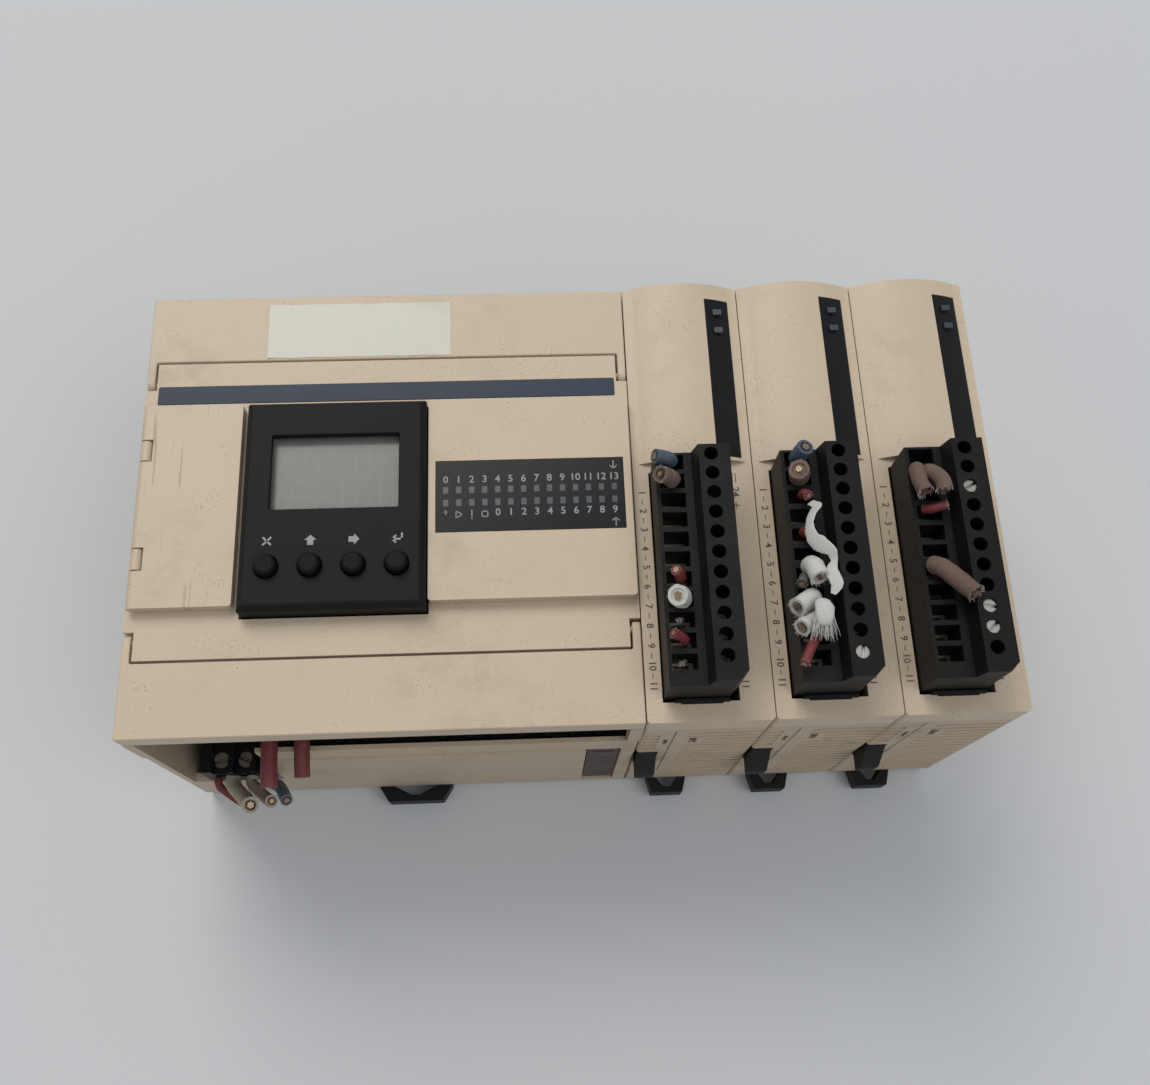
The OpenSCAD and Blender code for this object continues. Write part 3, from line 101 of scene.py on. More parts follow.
# A plug's ways: their number, pitch, the first one's place, and the entries' place across
WAYS = 11
WAY_PITCH = 3.81
FIRST_WAY = 1.8
ENTRY_X = 6.3
# Distance that joins points, and angle in degrees that counts as flat
WELD = 1e-6
FLAT_ANGLE = 0.6
# Edges turning by more degrees than this are rounded, and edges of soft pieces kept sharp
ROUND_ANGLE = 40
SOFT_ANGLE = 50
# How far a rounded edge may lie from the sharp one, in rounding widths, and how much the
# triangles' area may differ from the faces'
ROUND_REACH = 0.6
AREA_DRIFT = 0.004
# Thickness of a printed mark, and height of a digit in the font's own units
PRINT_DEPTH = 0.05
DIGIT_RISE = 0.72


def module_left(i):
    """A module's left side in millimetres."""
    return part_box(f"module_{i}_rear_housing")[0][0] / MM


def way_y(k):
    """The middle of way k of a plug in millimetres."""
    return FIRST_WAY - (k - 1) * WAY_PITCH


# ---------------------------------------------------------------- mesh helpers


def new_object(name, bm, material):
    """A mesh object made from bm, which is freed, in the scene."""
    mesh = bpy.data.meshes.new(name)
    bm.to_mesh(mesh)
    bm.free()
    mesh.materials.append(material)
    obj = bpy.data.objects.new(name, mesh)
    bpy.context.scene.collection.objects.link(obj)
    return obj


def settle(obj, node, slot, *nodes):
    """Hands a finished piece to the frame: it joins a node's body and hides the nodes it stands
    for; the slot is not used.
    """
    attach(obj, NODES[node]["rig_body"])
    if nodes:
        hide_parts(*nodes)


def merged(node):
    """A bmesh copy of a CAD node, joined up, with no needless edges on its flat areas."""
    bm = bmesh.new()
    bm.from_mesh(NODES[node].data)
    bmesh.ops.remove_doubles(bm, verts=bm.verts, dist=WELD)
    flat = math.radians(FLAT_ANGLE)
    bmesh.ops.dissolve_limit(bm, angle_limit=flat, verts=bm.verts, edges=bm.edges)
    bmesh.ops.recalc_face_normals(bm, faces=bm.faces)
    return bm


def evaluated(obj):
    """A new mesh of obj with its modifiers applied."""
    graph = bpy.context.evaluated_depsgraph_get()
    return bpy.data.meshes.new_from_object(obj.evaluated_get(graph))


def bake(obj):
    """Applies obj's modifiers for good."""
    mesh = evaluated(obj)
    obj.modifiers.clear()
    old = obj.data
    obj.data = mesh
    bpy.data.meshes.remove(old)


def smooth(mesh, degrees=32):
    """Splits many-sided faces and shades smooth, with edges above an angle kept sharp."""
    bm = bmesh.new()
    bm.from_mesh(mesh)
    bmesh.ops.triangulate(bm, faces=[face for face in bm.faces if len(face.verts) > 4])
    for face in bm.faces:
        face.smooth = True
    for edge in bm.edges:
        edge.smooth = edge.calc_face_angle(math.pi) < math.radians(degrees)
    bm.to_mesh(mesh)
    bm.free()


def chain(bm, points):
    """Adds a line of edges through points in millimetres to bm."""
    verts = [bm.verts.new(p * MM) for p in points]
    for a, b in zip(verts, verts[1:]):
        bm.edges.new((a, b))


def plate(bm, outline, z):
    """Adds a flat plate as thick as a print to bm, and returns its top and bottom faces."""
    bottom, top = (
        [bm.verts.new(Vector((p.x, p.y, z + side * PRINT_DEPTH / 2)) * MM) for p in outline]
        for side in (-1, 1)
    )
    ends = [bm.faces.new(top), bm.faces.new(list(reversed(bottom)))]
    for k in range(len(outline)):
        n = (k + 1) % len(outline)
        bm.faces.new((bottom[k], bottom[n], top[n], top[k]))
    return ends


def stays_true(mesh, skin, width):
    """Whether a rounded mesh keeps to the sharp skin and its faces split cleanly."""
    if any(skin.find_nearest(vert.co)[3] > width * ROUND_REACH for vert in mesh.vertices):
        return False
    mesh.calc_loop_triangles()
    split = sum(triangle.area for triangle in mesh.loop_triangles)
    whole = sum(poly.area for poly in mesh.polygons)
    return abs(split - whole) < AREA_DRIFT * whole


def rounded(obj, width, segments=2):
    """Rounds obj's edges if that keeps its shape, and says whether it did."""
    sharp = obj.data
    skin = BVHTree.FromPolygons(
        [vert.co for vert in sharp.vertices], [tuple(poly.vertices) for poly in sharp.polygons]
    )
    for poly in sharp.polygons:
        poly.use_smooth = True
    mod = obj.modifiers.new("rounding", "BEVEL")
    mod.width = width
    mod.segments = segments
    mod.limit_method = "ANGLE"
    mod.angle_limit = math.radians(ROUND_ANGLE)
    mod.use_clamp_overlap = False
    mod.miter_outer = "MITER_ARC"
    flat = obj.modifiers.new("flat faces", "WEIGHTED_NORMAL")
    flat.keep_sharp = True
    flat.weight = 90
    mesh = evaluated(obj)
    obj.modifiers.clear()
    if not stays_true(mesh, skin, width):
        bpy.data.meshes.remove(mesh)
        return False
    obj.data = mesh
    bpy.data.meshes.remove(sharp)
    return True


def dress(node, look, bevel=0, segments=2):
    """A copy of a CAD node in a look, with its edges rounded by bevel where they can be."""
    obj = new_object(node + "_skin", merged(node), MATS[look])
    if not (bevel and rounded(obj, bevel, segments)):
        smooth(obj.data)
    settle(obj, node, NODE_SLOT[node], node)


# ------------------------------------------------------------- geometry nodes


def geo_tree(name, **inputs):
    """A geometry node tree with inputs named by kind, its group input and its group output."""
    tree = bpy.data.node_groups.new(name, "GeometryNodeTree")
    for kind, labels in {"Geometry": ["Geometry"], **inputs, "Material": ["Material"]}.items():
        for label in labels:
            tree.interface.new_socket(label, in_out="INPUT", socket_type="NodeSocket" + kind)
    tree.interface.new_socket("Geometry", in_out="OUTPUT", socket_type="NodeSocketGeometry")
    return tree, tree.nodes.new("NodeGroupInput"), tree.nodes.new("NodeGroupOutput")


def geo(tree, kind, settings=None, **sockets):
    """A geometry node with its settings made and its sockets linked or filled."""
    node = tree.nodes.new(kind if kind.startswith("Shader") else "GeometryNode" + kind)
    for key, value in (settings or {}).items():
        setattr(node, key, value)
    for key, value in sockets.items():
        socket = node.inputs[key.replace("_", " ")]
        for item in value if isinstance(value, list) else [value]:
            if isinstance(item, bpy.types.NodeSocket):
                tree.links.new(item, socket)
            else:
                socket.default_value = item
    return node


def finish_tree(tree, leave, geometry, material):
    """Ends a tree with Realize Instances and Set Material."""
    solid = geo(tree, "RealizeInstances", Geometry=geometry)
    painted = geo(tree, "SetMaterial", Geometry=solid.outputs[0], Material=material)
    tree.links.new(painted.outputs[0], leave.inputs[0])
    return tree


def tube(tree, line, profile, scale):
    """A closed tube of a profile along a line, as thick as scale says."""
    ends = {"Curve": line.outputs[0], "Profile_Curve": profile.outputs[0]}
    return geo(tree, "CurveToMesh", **ends, Scale=scale, Fill_Caps=True)


def plate_row_tree():
    """A row of thin plates with round corners, a step apart."""
    lengths = ["Width", "Height", "Depth", "Corner"]
    tree, enter, leave = geo_tree(
        "plate_row", Vector=["Start", "Step"], Int=["Count"], Float=lengths
    )
    size = enter.outputs
    outline = geo(tree, "CurvePrimitiveQuadrilateral", Width=size["Width"], Height=size["Height"])
    corner = {"Count": 3, "Radius": size["Corner"]}
    outline = geo(tree, "FilletCurve", {"mode": "POLY"}, Curve=outline.outputs[0], **corner)
    face = geo(tree, "FillCurve", {"mode": "NGONS"}, Curve=outline.outputs[0])
    raised = geo(
        tree, "ExtrudeMesh", Mesh=face.outputs[0], Offset_Scale=size["Depth"], Individual=False
    )
    under = geo(tree, "FlipFaces", Mesh=face.outputs[0])
    both = geo(tree, "JoinGeometry", Geometry=[raised.outputs[0], under.outputs[0]])
    plate = geo(tree, "MergeByDistance", Geometry=both.outputs[0], Distance=1e-6)
    row = geo(
        tree, "MeshLine", Count=size["Count"], Start_Location=size["Start"], Offset=size["Step"]
    )
    placed = geo(tree, "InstanceOnPoints", Points=row.outputs[0], Instance=plate.outputs[0])
    return finish_tree(tree, leave, placed.outputs[0], size["Material"])


def strands_tree():
    """Bundles of twisted round strands along the input's edges, as thick as their points say."""
    tree, enter, leave = geo_tree("strands", Int=["Strands"], Float=["Twist"])
    size = enter.outputs
    line = geo(tree, "MeshToCurve", Mesh=size["Geometry"])
    along = geo(tree, "SplineParameter")
    turn = geo(tree, "ShaderNodeMath", {"operation": "MULTIPLY"})
    tree.links.new(along.outputs["Length"], turn.inputs[0])
    tree.links.new(size["Twist"], turn.inputs[1])
    line = geo(tree, "SetCurveTilt", Curve=line.outputs[0], Tilt=turn.outputs[0])
    ring = geo(tree, "CurvePrimitiveCircle", Resolution=size["Strands"], Radius=0.66)
    strand = geo(tree, "CurvePrimitiveCircle", Resolution=7, Radius=0.33)
    placed = geo(tree, "InstanceOnPoints", Points=ring.outputs[0], Instance=strand.outputs[0])
    placed = geo(tree, "RealizeInstances", Geometry=placed.outputs[0])
    profile = geo(tree, "JoinGeometry", Geometry=[placed.outputs[0], strand.outputs[0]])
    thick = geo(tree, "InputNamedAttribute", {"data_type": "FLOAT"}, Name="thick")
    skin = tube(tree, line, profile, thick.outputs["Attribute"])
    return finish_tree(tree, leave, skin.outputs[0], size["Material"])


def fibres_tree():
    """Fine hairs along the input's edges, thinner towards their tips."""
    tree, enter, leave = geo_tree("fibres", Float=["Thickness", "Tip"])
    size = enter.outputs
    line = geo(tree, "MeshToCurve", Mesh=size["Geometry"])
    along = geo(tree, "SplineParameter")
    taper = geo(tree, "ShaderNodeMapRange")
    tree.links.new(along.outputs["Factor"], taper.inputs["Value"])
    tree.links.new(size["Thickness"], taper.inputs["To Min"])
    tree.links.new(size["Tip"], taper.inputs["To Max"])
    round_hair = geo(tree, "CurvePrimitiveCircle", Resolution=5, Radius=0.5)
    skin = tube(tree, line, round_hair, taper.outputs["Result"])
    return finish_tree(tree, leave, skin.outputs[0], size["Material"])


def grow(name, bm, tree, material, **values):
    """A plain mesh object made by a tree from bm, with the tree's inputs filled by name."""
    obj = new_object(name, bm, material)
    mod = obj.modifiers.new(tree.name, "NODES")
    mod.node_group = tree
    values["Material"] = material
    for item in tree.interface.items_tree:
        if item.in_out == "INPUT" and item.name in values:
            mod[item.identifier] = values[item.name]
    bake(obj)
    obj.data.materials.clear()
    obj.data.materials.append(material)
    obj.data.polygons.foreach_set("material_index", [0] * len(obj.data.polygons))
    smooth(obj.data, 40)
    return obj


# ------------------------------------------------------------- lines and skins


def soft_skin(name, bm, look, node, slot, *nodes):
    """A closed soft skin made from bm, with its normals turned outwards, handed to the frame."""
    bmesh.ops.recalc_face_normals(bm, faces=bm.faces)
    obj = new_object(name, bm, MATS[look])
    smooth(obj.data, SOFT_ANGLE)
    settle(obj, node, slot, *nodes)


def spline(points, step=0.25):
    """Points on a smooth curve through the given ones, all in millimetres."""
    known = [Vector(p) for p in points]
    known = [2 * known[0] - known[1], *known, 2 * known[-1] - known[-2]]
    line = []
    for a, b, c, d in zip(known, known[1:], known[2:], known[3:]):
        count = max(2, int((c - b).length / step))
        for k in range(count):
            t = k / count
            line.append(
                0.5
                * (
                    2 * b
                    + (c - a) * t
                    + (2 * a - 5 * b + 4 * c - d) * t**2
                    + (3 * b - a - 3 * c + d) * t**3
                )
            )
    line.append(known[-2])
    return line


def frames_along(line, side=None):
    """Point, direction and two side directions along a line, without twist."""
    found = []
    for i, point in enumerate(line):
        ahead = (line[min(i + 1, len(line) - 1)] - line[max(i - 1, 0)]).normalized()
        side = ahead.orthogonal() if side is None else side - ahead * side.dot(ahead)
        side = side.normalized()
        found.append((point, ahead, side, ahead.cross(side)))
    return found


def sweep(bm, line, rings, rng, sides=14, ragged=0.0, flat=1.0, side=None):
    """A closed skin along a line from rings of (place 0 to 1, radius); it may turn back inside."""
    way = frames_along(line, side)
    loops = []
    for place, radius in rings:
        point, ahead, u, v = way[round(place * (len(way) - 1))]
        loop = []
        for k in range(sides):
            angle = 2 * math.pi * k / sides
            reach = radius * (1 + rng.uniform(-ragged, ragged))
            at = point + (u * math.cos(angle) + v * (flat * math.sin(angle))) * reach
            loop.append(bm.verts.new((at + ahead * rng.uniform(-ragged, ragged) * radius) * MM))
        loops.append(loop)
    for a, b in zip(loops, loops[1:]):
        for k in range(sides):
            n = (k + 1) % sides
            bm.faces.new((a[k], a[n], b[n], b[k]))
    bm.faces.new(list(reversed(loops[0])))
    bm.faces.new(loops[-1])


def box_into(bm, low, high):
    """Adds a box between two corners in millimetres to bm."""
    size = [h - l for l, h in zip(low, high)]
    middle = [(h + l) / 2 for l, h in zip(low, high)]
    matrix = Matrix.Translation(Vector(middle) * MM) @ Matrix.Diagonal((*[s * MM for s in size], 1))
    bmesh.ops.create_cube(bm, size=1, matrix=matrix)


def stroke(bm, path, width, z, turn=0.0, at=(0.0, 0.0)):
    """A printed line of a width through points, as thin raised bars, turned and moved."""
    spin = Matrix.Rotation(math.radians(turn), 3, "Z")
    points = [spin @ Vector((x, y, 0)) + Vector((*at, 0)) for x, y in path]
    for a, b in zip(points, points[1:]):
        along = (b - a).normalized() * width / 2
        across = Vector((-along.y, along.x, 0))
        start, end = a - along, b + along
        plate(bm, (start - across, end - across, end + across, start + across), z)


GLYPHS = {}


def glyph_into(bm, text, x, y, z, size, turn=0.0):
    """Adds a printed number or sign, size millimetres high, centred on x and y."""
    if text not in GLYPHS:
        curve = bpy.data.curves.new("glyph", "FONT")
        curve.body = text
        curve.align_x = "CENTER"
        curve.align_y = "CENTER"
        curve.resolution_u = 3
        curve.extrude = 0.02
        curve.offset = 0.012
        obj = bpy.data.objects.new("glyph", curve)
        bpy.context.scene.collection.objects.link(obj)
        GLYPHS[text] = evaluated(obj)
        bpy.data.objects.remove(obj)
    mesh = GLYPHS[text].copy()
    scale = size / DIGIT_RISE * MM
    mesh.transform(
        Matrix.Translation(Vector((x, y, z)) * MM)
        @ Matrix.Rotation(math.radians(turn), 4, "Z")
        @ Matrix.Diagonal((scale, scale, scale, 1))
    )
    bm.from_mesh(mesh)
    bpy.data.meshes.remove(mesh)


# ------------------------------------------------------------- shader helpers


def shader_group(name, outputs, **inputs):
    """An empty shader node group with inputs named by kind and outputs with their kinds."""
    tree = bpy.data.node_groups.new(name, "ShaderNodeTree")
    for kind, labels in inputs.items():
        for label in labels:
            tree.interface.new_socket(label, in_out="INPUT", socket_type="NodeSocket" + kind)
    for label, kind in outputs.items():
        tree.interface.new_socket(label, in_out="OUTPUT", socket_type="NodeSocket" + kind)
    return tree, tree.nodes.new("NodeGroupInput"), tree.nodes.new("NodeGroupOutput")


def fill(node, values):
    """Sets a node's inputs by name."""
    for key, value in values.items():
        node.inputs[key].default_value = value


def add(tree, kind, at=None, **values):
    """A shader node with its properties and socket values set by name."""
    node = tree.nodes.new("ShaderNode" + kind)
    for key, value in values.items():
        if hasattr(node, key) and key not in node.inputs:
            setattr(node, key, value)
        else:
            node.inputs[key.replace("_", " ")].default_value = value
    if at is not None:
        tree.links.new(at, node.inputs[0])
    return node


def math_node(tree, operation, a, b, clamp=False):
    """a (operation) b, where each is a socket or a number."""
    node = tree.nodes.new("ShaderNodeMath")
    node.operation = operation
    node.use_clamp = clamp
    for i, value in enumerate((a, b)):
        if isinstance(value, (int, float)):
            node.inputs[i].default_value = value
        else:
            tree.links.new(value, node.inputs[i])
    return node.outputs[0]


def times(tree, a, b, clamp=False):
    """a multiplied by b."""
    return math_node(tree, "MULTIPLY", a, b, clamp)


def mix_colour(tree, factor, a, b, blend="MIX"):
    """Colour a mixed with b by factor; each is a socket or a plain value."""
    node = tree.nodes.new("ShaderNodeMix")
    node.data_type = "RGBA"
    node.blend_type = blend
    for socket, value in ((node.inputs[0], factor), (node.inputs[6], a), (node.inputs[7], b)):
        if isinstance(value, bpy.types.NodeSocket):
            tree.links.new(value, socket)
        else:
            socket.default_value = value
    return node.outputs[2]


def ramp(tree, value, low, high):
    """value mapped from low..high to 0..1, smoothly and clamped."""
    node = tree.nodes.new("ShaderNodeMapRange")
    node.interpolation_type = "SMOOTHSTEP"
    fill(node, {"From Min": low, "From Max": high})
    tree.links.new(value, node.inputs["Value"])
    return node.outputs["Result"]


def wear_group():
    """Soiled moulded plastic: tone changes, smears, dark specks, scratches and a fine grain."""
    tree, enter, leave = shader_group(
        "moulded_wear",
        {"Colour": "Color", "Soil": "Float", "Height": "Float"},
        Vector=["Vector"],
        Color=["Colour", "Soil"],
        Float=["Smears", "Specks", "Scratches", "Grain"],
    )
    at = enter.outputs["Vector"]
    broad = add(tree, "TexNoise", at, Scale=28.0, Detail=4.0, Roughness=0.6)
    streak = add(tree, "TexNoise", at, Scale=160.0, Detail=6.0, Roughness=0.7)
    smear = times(
        tree, ramp(tree, broad.outputs[0], 0.46, 0.74), ramp(tree, streak.outputs[0], 0.38, 0.72)
    )
    smear = times(tree, smear, enter.outputs["Smears"], True)
    cells = add(tree, "TexVoronoi", at, Scale=1500.0, Randomness=1.0)
    near = ramp(tree, cells.outputs["Distance"], 0.26, 0.1)
    chosen = add(tree, "TexNoise", at, Scale=120.0, Detail=2.0)
    speck = times(tree, near, ramp(tree, chosen.outputs[0], 0.56, 0.62))
    speck = times(tree, speck, enter.outputs["Specks"], True)
    turned = add(tree, "Mapping", at, Rotation=(0, 0, 0.9), Scale=(1500, 70, 90))
    line = add(tree, "TexNoise", turned.outputs[0], Scale=1.0, Detail=0.0)
    where = add(tree, "TexNoise", at, Scale=45.0, Detail=1.0)
    scratch = times(
        tree, ramp(tree, line.outputs[0], 0.66, 0.72), ramp(tree, where.outputs[0], 0.5, 0.62)
    )
    scratch = times(tree, scratch, enter.outputs["Scratches"], True)
    soil = math_node(tree, "MAXIMUM", math_node(tree, "MAXIMUM", smear, speck), scratch)
    shade = times(tree, broad.outputs[0], 0.12)
    tone = mix_colour(tree, shade, enter.outputs["Colour"], (0.5, 0.5, 0.5, 1), "OVERLAY")
    grain = add(tree, "TexNoise", at, Detail=2.0, Roughness=0.5)
    tree.links.new(enter.outputs["Grain"], grain.inputs["Scale"])
    dots = times(tree, ramp(tree, grain.outputs[0], 0.35, 0.75), 0.12)
    fine = mix_colour(tree, dots, tone, enter.outputs["Soil"])
    colour = mix_colour(tree, soil, fine, enter.outputs["Soil"])
    tree.links.new(colour, leave.inputs["Colour"])
    tree.links.new(soil, leave.inputs["Soil"])
    tree.links.new(grain.outputs[0], leave.inputs["Height"])
    return tree


GROUPS = {}
MATS = {}
# The moulded grain's scale and depth in metres, and the roughness that full soil adds
GRAIN = 3500
RELIEF = 0.00002
SOIL_ROUGHNESS = 0.25


def shader_of(mat):
    """A material's Principled BSDF."""
    return mat.node_tree.nodes["Principled BSDF"]


def new_material(name):
    """A node material with only a Principled BSDF and an output."""
    mat = bpy.data.materials.new(name)
    mat.use_nodes = True
    return mat, mat.node_tree, shader_of(mat)


def plastic(name, colour, soil, rough, smears, specks, scratches=0.03):
    """Moulded plastic with the shared wear group and a fine bump."""
    mat, tree, shader = new_material(name)
    coords = tree.nodes.new("ShaderNodeTexCoord")
    wear = tree.nodes.new("ShaderNodeGroup")
    wear.node_tree = GROUPS["wear"]
    tree.links.new(coords.outputs["Object"], wear.inputs["Vector"])
    values = {"Colour": (*colour, 1), "Soil": (*soil, 1), "Smears": smears, "Specks": specks}
    fill(wear, {**values, "Grain": GRAIN, "Scratches": scratches})
    tree.links.new(wear.outputs["Colour"], shader.inputs["Base Color"])
    rougher = math_node(tree, "MULTIPLY_ADD", wear.outputs["Soil"], SOIL_ROUGHNESS)
    rougher.node.inputs[2].default_value = rough
    tree.links.new(rougher, shader.inputs["Roughness"])
    bump = tree.nodes.new("ShaderNodeBump")
    fill(bump, {"Strength": 0.35, "Distance": RELIEF})
    tree.links.new(wear.outputs["Height"], bump.inputs["Height"])
    tree.links.new(bump.outputs["Normal"], shader.inputs["Normal"])
    return mat


def build_materials(paint):
    """Every material of the scene, kept by name in MATS."""
    GROUPS["wear"] = wear_group()
    dirt = (0.12, 0.09, 0.06)
    dust = (0.035, 0.028, 0.023)
    grey = (0.03, 0.03, 0.03)
    looks = {
        "housing": ("housing_beige", paint.housing, dirt, 0.52, 0.45, 0.6),
        "cover": ("cover_beige", paint.cover, dirt, 0.5, 0.28, 0.55),
        "black": ("black_plastic", paint.black, dust, 0.5, 0.6, 0.6),
        "plug": ("plug_black", paint.plug, dust, 0.48, 0.8, 0.7),
        "display": ("display_plastic", paint.display, grey, 0.55, 0.3, 0.5),
        "key": ("key_rubber", paint.key, grey, 0.6, 0.3, 0.3),
        "strip": ("strip_slate", paint.strip, (0.09, 0.09, 0.09), 0.4, 0.25, 0.4),
        "smoke": ("indicator_smoke", paint.smoke, grey, 0.24, 0.3, 0.3),
        "board": ("circuit_board", (0.03, 0.13, 0.06), (0.02, 0.05, 0.03), 0.45, 0.4, 0.5),
        "dark": ("port_dark", (0.004, 0.004, 0.0045), grey, 0.5, 0.3, 0.3),
        "cream": ("pot_cream", (0.5, 0.44, 0.32), (0.15, 0.12, 0.08), 0.45, 0.3, 0.4),
        "brass": ("brass_contact", (0.40, 0.36, 0.28), (0.06, 0.05, 0.04), 0.42, 0.7, 0.5),
        "steel": ("screw_steel", (0.50, 0.48, 0.44), (0.10, 0.08, 0.06), 0.36, 0.7, 0.6),
        # Darker steel for screws deep in their holes: partly grime, partly painted shade
        "worn": ("screw_worn", (0.26, 0.23, 0.19), (0.07, 0.05, 0.035), 0.5, 0.8, 0.7),
        "red": ("wire_red", (0.135, 0.010, 0.016), (0.30, 0.20, 0.15), 0.6, 0.45, 0.8),
        "white": ("sleeve_white", (0.52, 0.51, 0.48), (0.22, 0.18, 0.14), 0.85, 0.9, 0.6),
        "tan": ("sleeve_tan", (0.115, 0.068, 0.055), (0.34, 0.26, 0.19), 0.85, 1.0, 0.9),
        "beige": ("sleeve_beige", (0.42, 0.36, 0.27), (0.16, 0.12, 0.08), 0.75, 0.6, 0.6),
        "blue": ("wire_blue", (0.045, 0.07, 0.105), (0.15, 0.16, 0.17), 0.5, 0.7, 0.6),
        "grey": ("wire_grey", (0.06, 0.06, 0.062), (0.16, 0.16, 0.15), 0.6, 0.6, 0.6),
        "copper": ("strand_copper", (0.42, 0.30, 0.20), (0.10, 0.06, 0.04), 0.4, 0.6, 0.5),
        "print": ("print_brown", (0.075, 0.062, 0.05), (0.35, 0.29, 0.22), 0.6, 0.6, 0.7),
        "pale": ("print_pale", (0.28, 0.29, 0.28), (0.06, 0.06, 0.06), 0.55, 0.6, 0.7),
        "lamp": ("lamp_grey_blue", (0.036, 0.046, 0.062), (0.02, 0.022, 0.026), 0.3, 0.7, 0.6),
        "paper": ("label_paper", (0.56, 0.545, 0.47), (0.36, 0.34, 0.29), 0.42, 0.5, 0.3),
        "recess": ("recess_brown", (0.050, 0.024, 0.019), (0.02, 0.012, 0.01), 0.5, 0.7, 0.5),
    }
    for key, look in looks.items():
        MATS[key] = plastic(*look)
    for key in ("black", "plug", "display", "key", "strip", "smoke", "dark"):
        fill(shader_of(MATS[key]), {"Specular IOR Level": 0.16})
    for key in ("brass", "steel", "worn", "copper"):
        fill(shader_of(MATS[key]), {"Metallic": 0.85})
    MATS["door"] = plastic("door_beige", paint.cover, dirt, 0.48, 0.3, 0.6, scratches=0.3)
    MATS["lens"] = lens_material()
    MATS["lcd"] = lcd_material()


def lens_material():
    """Thin clear plastic with a haze that roughens it in patches."""
    mat, tree, shader = new_material("lens_clear")
    fill(shader, {"Base Color": (0.55, 0.57, 0.56, 1), "Alpha": 0.07})
    at = tree.nodes.new("ShaderNodeTexCoord").outputs["Object"]
    haze = add(tree, "TexNoise", at, Scale=220.0, Detail=5.0, Roughness=0.65)
    hazy = ramp(tree, haze.outputs[0], 0.35, 0.8)
    rough = math_node(tree, "MULTIPLY_ADD", hazy, 0.14)
    rough.node.inputs[2].default_value = 0.08
    tree.links.new(rough, shader.inputs["Roughness"])
    return mat


def lcd_material():
    """Greenish grey liquid crystal with rows of faint character cells."""
    mat = plastic("lcd_glass", (0.085, 0.096, 0.080), (0.17, 0.17, 0.155), 0.22, 0.55, 0.15)
    tree = mat.node_tree
    shader = shader_of(mat)
    plain = shader.inputs["Base Color"].links[0].from_socket
    at = tree.nodes.new("ShaderNodeTexCoord").outputs["Object"]
    cells = add(tree, "TexBrick", at, offset=0.0, Scale=1.0, Mortar_Size=0.00018)
    fill(cells, {"Brick Width": 0.0024, "Row Height": 0.0042, "Mortar": (1, 1, 1, 1)})
    fill(cells, {"Color1": (0, 0, 0, 1), "Color2": (0, 0, 0, 1)})
    faint = times(tree, cells.outputs["Color"], 0.22)
    tree.links.new(
        mix_colour(tree, faint, plain, (0.15, 0.155, 0.135, 1)), shader.inputs["Base Color"]
    )
    return mat


# ------------------------------------------------------------------ properties


def colour_prop(name, description, default):
    """A linear RGB colour picker."""
    return bpy.props.FloatVectorProperty(
        name=name, description=description, subtype="COLOR", size=3, min=0, max=1, default=default
    )


def length_prop(name, description, default_mm, high_mm=5):
    """A length shown in the scene's units."""
    return bpy.props.FloatProperty(
        name=name,
        description=description,
        unit="LENGTH",
        min=0,
        max=high_mm * MM,
        default=default_mm * MM,
        precision=5,
    )


class CTRL_PG_paint(bpy.types.PropertyGroup):
    """Colours of the controller's plastics."""

    housing: colour_prop("Housing", "Rear housings and sides", (0.47, 0.375, 0.27))
    cover: colour_prop("Cover", "Front housings, covers and the port door", (0.55, 0.44, 0.32))
    black: colour_prop("Black", "Terminal blocks, clips and latches", (0.005, 0.005, 0.0055))
    plug: colour_prop("Plug", "Module plugs", (0.006, 0.006, 0.0065))
    display: colour_prop("Display", "Display housing", (0.006, 0.006, 0.0065))
    key: colour_prop("Key", "Display keys", (0.003, 0.003, 0.0035))
    strip: colour_prop("Strip", "Trim strip across the front", (0.034, 0.046, 0.068))
    smoke: colour_prop("Window", "Indicator windows", (0.009, 0.009, 0.010))


class CTRL_PG_sizes(bpy.types.PropertyGroup):
    """Sizes of the finish."""

    housing_round: length_prop("Housing rounding", "Edge rounding of the housings", 0.35)
    cover_round: length_prop("Cover rounding", "Edge rounding of covers and doors", 0.3)
    small_round: length_prop("Small rounding", "Edge rounding of plugs, keys and clips", 0.15)


# ------------------------------------------------------------------- operators


class Piece(bpy.types.Operator):
    """Common base of the controller's operators."""

    bl_options = {"REGISTER", "UNDO"}


class CTRL_OT_housings(Piece):
    """Rounds and paints the controller's and modules' housings"""

    bl_idname = "ctrl.housings"
    bl_label = "Housings"

    def execute(self, context):
        sizes = context.scene.ctrl_sizes
        dress("cpu_rear_housing", "housing", sizes.housing_round)
        dress("cpu_front_housing", "cover", sizes.housing_round)
        dress("cartridge_cover", "recess", sizes.small_round)
        for i in MODULES:
            dress(f"module_{i}_rear_housing", "housing", sizes.housing_round)
            dress(f"module_{i}_front_housing", "cover", sizes.housing_round)
        return {"FINISHED"}


class CTRL_OT_covers(Piece):
    """Rounds and paints the terminal covers, the port door and the windows"""

    bl_idname = "ctrl.covers"
    bl_label = "Covers and Door"

    def execute(self, context):
        sizes = context.scene.ctrl_sizes
        for node in ("top_terminal_cover", "bottom_terminal_cover"):
            dress(node, "cover", sizes.cover_round)
        dress("port_door", "door", sizes.cover_round)
        dress("trim_strip", "strip", sizes.small_round)
        dress("indicator_window", "smoke", sizes.small_round)
        for i in MODULES:
            dress(f"module_{i}_status_window", "smoke", sizes.small_round)
        return {"FINISHED"}


